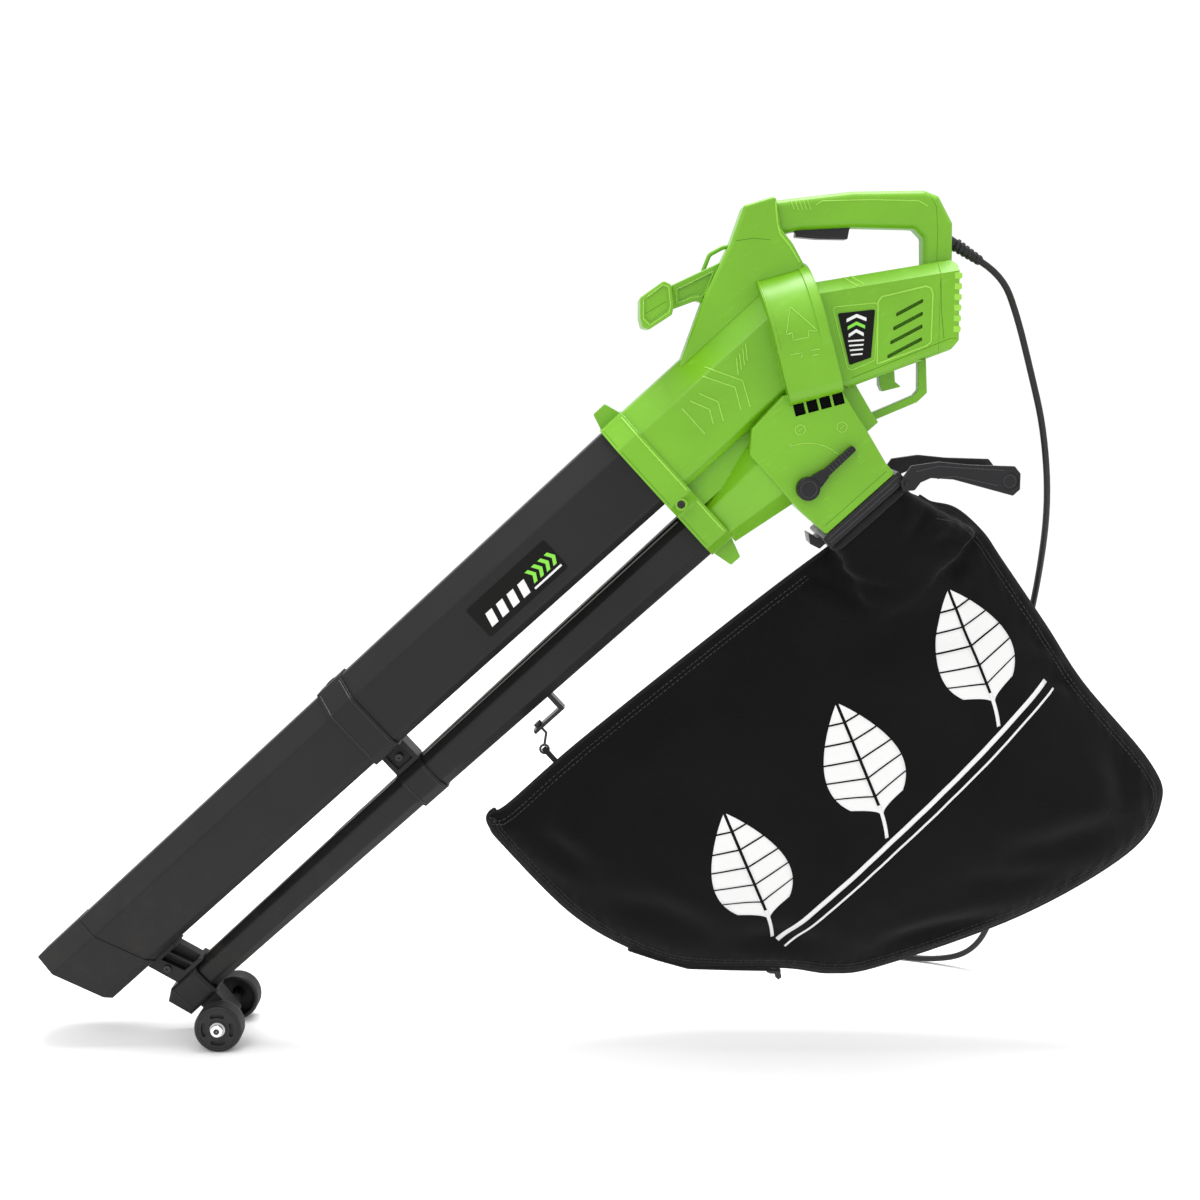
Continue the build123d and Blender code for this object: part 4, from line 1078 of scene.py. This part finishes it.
def webbing_loop():
    """Webbing strap folded through the hook's ring and sewn to the bag's edge."""
    bend = Vector((-323.4, -564.7))
    edge_from, edge_to = Vector(BAG_OUTLINE[-4]), Vector(BAG_OUTLINE[-3])
    run = (edge_to - edge_from).normalized()
    inwards = Vector((run.y, -run.x))
    reach = (edge_from - bend).dot(inwards) + 3.0
    path = [(reach, 1.1), (reach * 0.5, 1.9), (2.0, 2.6), (-0.6, 1.9), (-1.5, 0.0)]
    path += [(a, -y) for a, y in path[-2::-1]]
    rings = []
    for i, (a, y) in enumerate(path):
        step = heading(path, i)
        out = Vector((-step.y, step.x)) * 0.5
        rings.append([beside(bend + inwards * (a + sign * out.x) + run * across, y + sign * out.y)
                      for sign, across in ((-1, -2.6), (1, -2.6), (1, 2.6), (-1, 2.6))])
    strap = lofted("webbing_strap", rings, "webbing")
    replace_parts(soften(strap, 0.25), "webbing_loop")


# Moulded details


MODE_HUB = (227, -171)
COLLAR_S = 738.5


def front_casing_details():
    """Embossed chevrons, ribs, signs and arrow, and seams, of the front casing and the fan's band."""
    nodes = ("front_casing_near", "front_casing_far", "motor_housing_near", "motor_housing_far")
    duct = [
        tubes((222, -10), (203, -45.5), (215, -71)),
        tubes((230, -15), (213, -45.5), (224, -67)),
        tubes((244.5, -25), (235.5, -45), (244.6, -63)),
        tubes((256, -25), (247, -44.5), (254, -58)),
        tubes((267, -25), (267, -60)),
    ]
    raised("duct_chevrons", nodes, duct, 1.7, 0.7)
    ribs = [tubes((176 + 5.5 * i, -20 - 1.5 * i), (186 + 5.5 * i, -34 - 1.5 * i)) for i in range(4)]
    raised("duct_ribs", nodes, ribs, 1.8, 0.9)
    signs = [tubes(*arc(MODE_HUB, 46, 108, 175))]
    for centre in ((193, -121.5), (160, -148)):
        signs.append(tubes(*arc(centre, 5.2, 0, 360, 14)))
        signs.append(tubes((centre[0] - 2.5, centre[1]), (centre[0] + 2.5, centre[1])))
    for centre in ((211, -127), (166, -180.7)):
        signs.append(tubes(*arc(centre, 1.3, 0, 360, 8)))
    raised("mode_signs", nodes, signs, 1.3, 0.6, NEAR)
    band = [
        motors((-3.8, 31.4), (-15.3, 6), (-9, 6.6), (-9.6, -1), (6, -2), (7, 4.4), (16.4, 1.5), (-3.8, 31.4)),
        motors((-16, -14), (-4, -15), (-6, -20)),
        motors((4, -15), (14, -16)),
        motors((4, -20), (12, -21)),
    ]
    raised("turn_arrow", nodes, band, 1.3, 0.6)
    flange = [tubes((319, 9), (319, -13), (319, -90)), tubes((319, -106), (319, -149))]
    raised("flange_bead", nodes, flange, 2.2, 0.8)
    seams = [tubes((342, 11), (342, -90)), tubes((342, -107), (342, -150))]
    grooves("flange_seam", nodes, seams, 0.7)
    grooves("spigot_seam", nodes, [tubes((156, -212), (239, -212))], 0.7)


def fan_rim():
    """Raised rim round the motor side of the fan casing, and a thinner one at the front."""
    count = 96
    foot = FAN_RADIUS - 0.8
    rims = (("fan_rim_rear", 17.0, 27.6, 1.3), ("fan_rim_front", -26.8, -23.0, 0.8))
    for name, front, rear, height in rims:
        top = FAN_RADIUS + height
        rings = []
        for i in range(count + 1):
            t = math.radians(-42 + 264 * i / count)
            rings.append([beside(motor(m, r * math.sin(t)), r * math.cos(t))
                          for m, r in ((front, foot), (front + 1, top), (rear - 1, top), (rear, foot))])
        lofted(name, rings, "green_plastic")


def vent_shade_sheets():
    """Dark sheets in the openings under the fan casing and behind the motor's side vents: painted shade of
    the hollows.
    """
    casing, housing = Build(), Build()
    for side in BOTH:
        openings = motors((-24, -64.5), (27.4, -64.5), (27.4, -75.8), (-24, -75.8))
        casing.prism(openings, side * 50.7, side * 50.95)
        housing.prism([(24, -84), (68, -78), (66, -150), (24, -150)], side * 41.2, side * 41.8)
    casing.done("vent_shade_sheets", "inner_plastic", material=VOID_SHADE)
    housing.done("motor_vent_shade_sheets", "inner_plastic", material=GROOVE)


def motor_details():
    """Panel borders, seams, notches and rear vent bars of the motor housing."""
    nodes = ("motor_housing_near", "motor_housing_far", "rear_vent_cap")
    panel = [(17, -154), (16.5, -92), (20, -87), (64, -76.5), (69, -78), (71.5, -84), (71, -132), (66, -136)]
    raised("vent_panel_border", nodes, [closed(panel)], 2.2, 0.8)
    surround = [(-29, -99), (-26, -97), (14, -93), (17, -96), (14.5, -150), (-8, -160), (-13, -158)]
    raised("label_border", nodes, [closed(surround)], 1.5, 0.6)
    seams = [[(-8, -168), (90, -128.5), (96.5, -128)], [(78.6, -60), (80.5, -100), (84, -129)]]
    grooves("motor_seams", nodes, seams, 0.8)
    notches = [[(-16, -67.5), (-4, -77)], [(-9, -66), (3, -75.5)]]
    raised("chamfer_notches", nodes, notches, 2.0, 0.8)
    build = Build()
    bar = [(93, -3.2), (99.6, -3.2), (100.6, -2), (100.6, 2), (99.6, 3.2), (93, 3.2)]
    for row in range(6):
        middle = -66 - 10.6 * row
        build.prism([(x, middle + z) for x, z in bar], -45.5, 45.5)
    # The vent bars take the paler ridge copy of the green: a painted highlight.
    soften(build.done("rear_vent_bars", "green_plastic", material=RIDGE_HIGHLIGHT["green_plastic"]), 0.8)


def handle_details():
    """Step line, ribs and raised panel of the grip, stem panel and bar border."""
    spine = ("spine_near", "spine_far")
    step = [(-86.5, 9), (-84, -14), (-81, -24), (-71, -35.8), (-61, -52)]
    raised("spine_step", spine, [step], 2.0, 0.8)
    grooves("spine_crease", spine, [[(-126, -30.5), (-108, -28), (-91, -29.5)]], 0.8)
    grip = ("grip_near", "grip_far")
    ribs = [[(-70 + 4.2 * i, 9.8 + 0.25 * i), (-66 + 4.2 * i, 0.5)] for i in range(5)]
    raised("grip_ribs", grip, ribs, 1.5, 0.7, slot="grip_plastic")
    panel = [(-45, 5), (-38, 9.5), (10, 10.8), (60, 9.8), (69, 4.5)]
    raised("grip_panel", grip, [panel], 1.6, 0.6, slot="grip_plastic")
    grooves("grip_seam", grip, [[(72, 14), (78, 4), (80, -20), (80, -56)]], 0.6, slot="grip_plastic")
    bar = ("front_handle_bar",)
    border = [(-220, -90), (-200.5, -75.5), (-195, -77.5), (-192.8, -96), (-195, -103)]
    border += [(-213.5, -115.5), (-220, -109)]
    raised("bar_border", bar, [closed(border)], 1.6, 0.7)
    grooves("bar_crease", bar, [[(-218, -104), (-203, -95), (-197, -92)]], 0.7)
    stem = ("front_handle_stem",)
    frame_line = [(-186, -79), (-147, -60), (-157, -86), (-169, -86.5), (-185, -93)]
    raised("stem_border", stem, [closed(frame_line)], 1.4, 0.6)


def tube_details():
    """Beads and button of the joint collar, pale beads along the small tube's upper edges painted as a
    highlight, and beads of the wheel foot.
    """
    ends = (COLLAR_S - 13.5, COLLAR_S + 13.5)
    lines = [tubes((s, 6), (s, -15), (s, -78)) for s in ends] + [tubes((s, -117), (s, -153)) for s in ends]
    raised("collar_beads", ("joint_collar",), lines, 1.8, 0.7, slot="tube_plastic")
    turns = [2 * math.pi * i / 24 for i in range(24)]
    rings = []
    for lift, radius in ((-6.0, 7.0), (-3.4, 7.0), (-2.2, 5.6), (-1.9, 2.5)):
        rings.append([beside(tube(COLLAR_S + radius * math.cos(t), 13.0 + lift), radius * math.sin(t))
                      for t in turns])
    lofted("collar_button", rings, "tube_plastic")
    build = Build()
    for node, start, end in (("blow_tube_upper", 349, 718), ("blow_tube_lower", 759, 1056)):
        edge = [tube(s, -111.4 - 0.0075 * (s - 326)) for s in (start, end)]
        lines_on(build, skin(node), [edge], 2.2, 0.4)
    build.done("small_tube_edges", "tube_plastic", material=EDGE_HIGHLIGHT)
    lines = [tubes((1068, -124), (1068, -150)), tubes((1098, -123), (1096, -151))]
    raised("foot_beads", ("wheel_foot",), lines, 1.4, 0.7, slot="tube_plastic")


def bar_outline(s_from, s_to, n_low, n_high, lean):
    """Slanted bar along the tubes, as side places."""
    return tubes((s_from, n_low), (s_to, n_low), (s_to - lean, n_high), (s_from - lean, n_high))


def label_graphics():
    """Generic bars and chevrons on the tube's label and a generic sign on the motor's label."""
    white, green = Build(), Build()
    tube_ink = (-44.75, -45.2)
    motor_ink = (-45.8, -46.25)
    for i in range(4):
        s = 563 - 15 * i
        white.prism(bar_outline(s, s - 9, -60, -45, 4), *tube_ink)
    for i in range(4):
        s = 500 - 9 * i
        back, tip = s - 4.5, s - 9
        chevron = tubes((s, -56), (back, -56), (tip, -48.5), (back, -41), (s, -41), (back, -48.5))
        green.prism(chevron, *tube_ink)
    white.prism(bar_outline(503, 466, -61.5, -59.3, 0), *tube_ink)
    middle = -5
    for i in range(3):
        z = -110 - 7.5 * i
        half = 10 - 1.2 * i
        left, right = middle - half, middle + half
        above = [(left, z + 1), (middle, z + 6), (right, z + 2.2)]
        below = [(right, z - 1.2), (middle, z + 2.6), (left, z - 2.4)]
        (green if i == 1 else white).prism(above + below, *motor_ink)
    for i in range(4):
        z = -131 - 4.6 * i
        left, right = -13 + i, 3 - 0.4 * i
        white.prism([(left, z - 0.9), (right, z + 0.2), (right, z + 1.8), (left, z + 0.7)], *motor_ink)
    white.done("label_white", "label", material=WHITE_INK)
    green.done("label_green", "label", material=GREEN_INK)


def wheel_details():
    """Tread ribs and face rings of the two wheels, and the washers under their nuts."""
    low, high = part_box("axle")
    centre = ((low.x + high.x) / 2 / MM, (low.z + high.z) / 2 / MM)
    for side, body in ((-1, "near_wheel"), (1, "far_wheel")):
        build = Build()
        for middle in (37.5, 41.0, 44.0, 47.0, 50.5):
            tread = [(25.0, -0.9), (25.8, -0.5), (25.8, 0.5), (25.0, 0.9)]
            build.turned(centre, [(radius, side * (middle + a)) for radius, a in tread], 72)
        for middle in (21.6, 9.6):
            ring = [(-0.8, 54.8), (-0.4, 55.6), (0.4, 55.6), (0.8, 54.8)]
            build.turned(centre, [(middle + a, side * y) for a, y in ring], 64)
        name = "near" if side < 0 else "far"
        build.done(name + "_wheel_ribs", "wheel_plastic", body=body)
    washers, sockets = Build(), Build()
    # The dark discs on the nut faces are painted shade standing in for the hollow of their sockets.
    discs = ((washers, (3.1, 8.2), (55.12, 55.3), 40), (sockets, (0.4, 3.2), (60.4, 60.62), 24))
    for build, (inner, outer), (low, high), count in discs:
        corners = ((inner, low), (outer, low), (outer, high), (inner, high))
        for side in BOTH:
            build.turned(centre, [(radius, side * y) for radius, y in corners], count)
    washers.done("wheel_washers", "steel")
    sockets.done("nut_socket_shade", "chrome", material=BLACKENED)


def boot_ribs():
    """Flexible rings of the cord's strain relief."""
    end = Vector(CORD_ROUTE[0])
    axis = Vector((0.845, 0, -0.534)).normalized()
    across = Vector((0, 1, 0))
    up = axis.cross(across)
    build = Build()
    for i in range(6):
        middle = end - axis * (3.0 + 5.4 * i)
        radius = 5.0 + 0.35 * i
        rings = []
        for j in range(32):
            t = 2 * math.pi * j / 32
            out = across * math.cos(t) + up * math.sin(t)
            ring = [middle + axis * a + out * r for a, r in
                    ((-1.9, radius - 1.2), (-1.5, radius + 0.2), (1.5, radius + 0.2), (1.9, radius - 1.2))]
            rings.append([p * MM for p in ring])
        build.add(*loft(rings, loop=True))
    soften(build.done("boot_ribs", "cord_rubber"), 0.3)


def control_details():
    """Ribs and ring of the mode lever, and ridges of the collar, quick-release lever and trigger."""
    s, n = MODE_HUB
    ribs = [tubes((s - 30 - 4 * i, n - 3.4), (s - 30 - 4 * i, n + 3.4)) for i in range(7)]
    raised("mode_lever_ribs", ("mode_lever",), ribs, 1.4, 0.7, NEAR, "dark_plastic", "selector")
    ring = tubes(*arc(MODE_HUB, 8.2, 0, 360, 28))
    raised("mode_lever_ring", ("mode_lever",), [ring], 1.4, 0.7, NEAR, "dark_plastic", "selector")
    collar = [tubes((151, n), (246, n)) for n in (-224, -228.5)]
    raised("collar_ridges", ("bag_collar",), collar, 1.5, 0.8, slot="dark_plastic")
    upper = [(56, -262), (80, -256.5), (112, -258.5), (146, -260.5)]
    lower = [(70, -270), (96, -266.5), (140, -276)]
    raised("lever_ridges", ("bag_lever",), [upper, lower], 1.4, 0.6, slot="dark_plastic", body="lever")
    ends = [arc((152.3, -271.6), 6.2, 0, 360, 24)]
    raised("lever_bar_rings", ("lever_bar",), ends, 1.3, 0.6, slot="dark_plastic", body="lever")
    trigger = [[(-58, -24), (-40, -25.6), (-13, -26)]]
    raised("trigger_line", ("trigger",), trigger, 1.0, 0.4, slot="dark_plastic", body="trigger_body")


camera()
mains_lead()
studio()
finish_frame()
leaf_bag()
webbing_loop()
front_casing_details()
fan_rim()
vent_shade_sheets()
motor_details()
handle_details()
tube_details()
label_graphics()
wheel_details()
control_details()
boot_ribs()
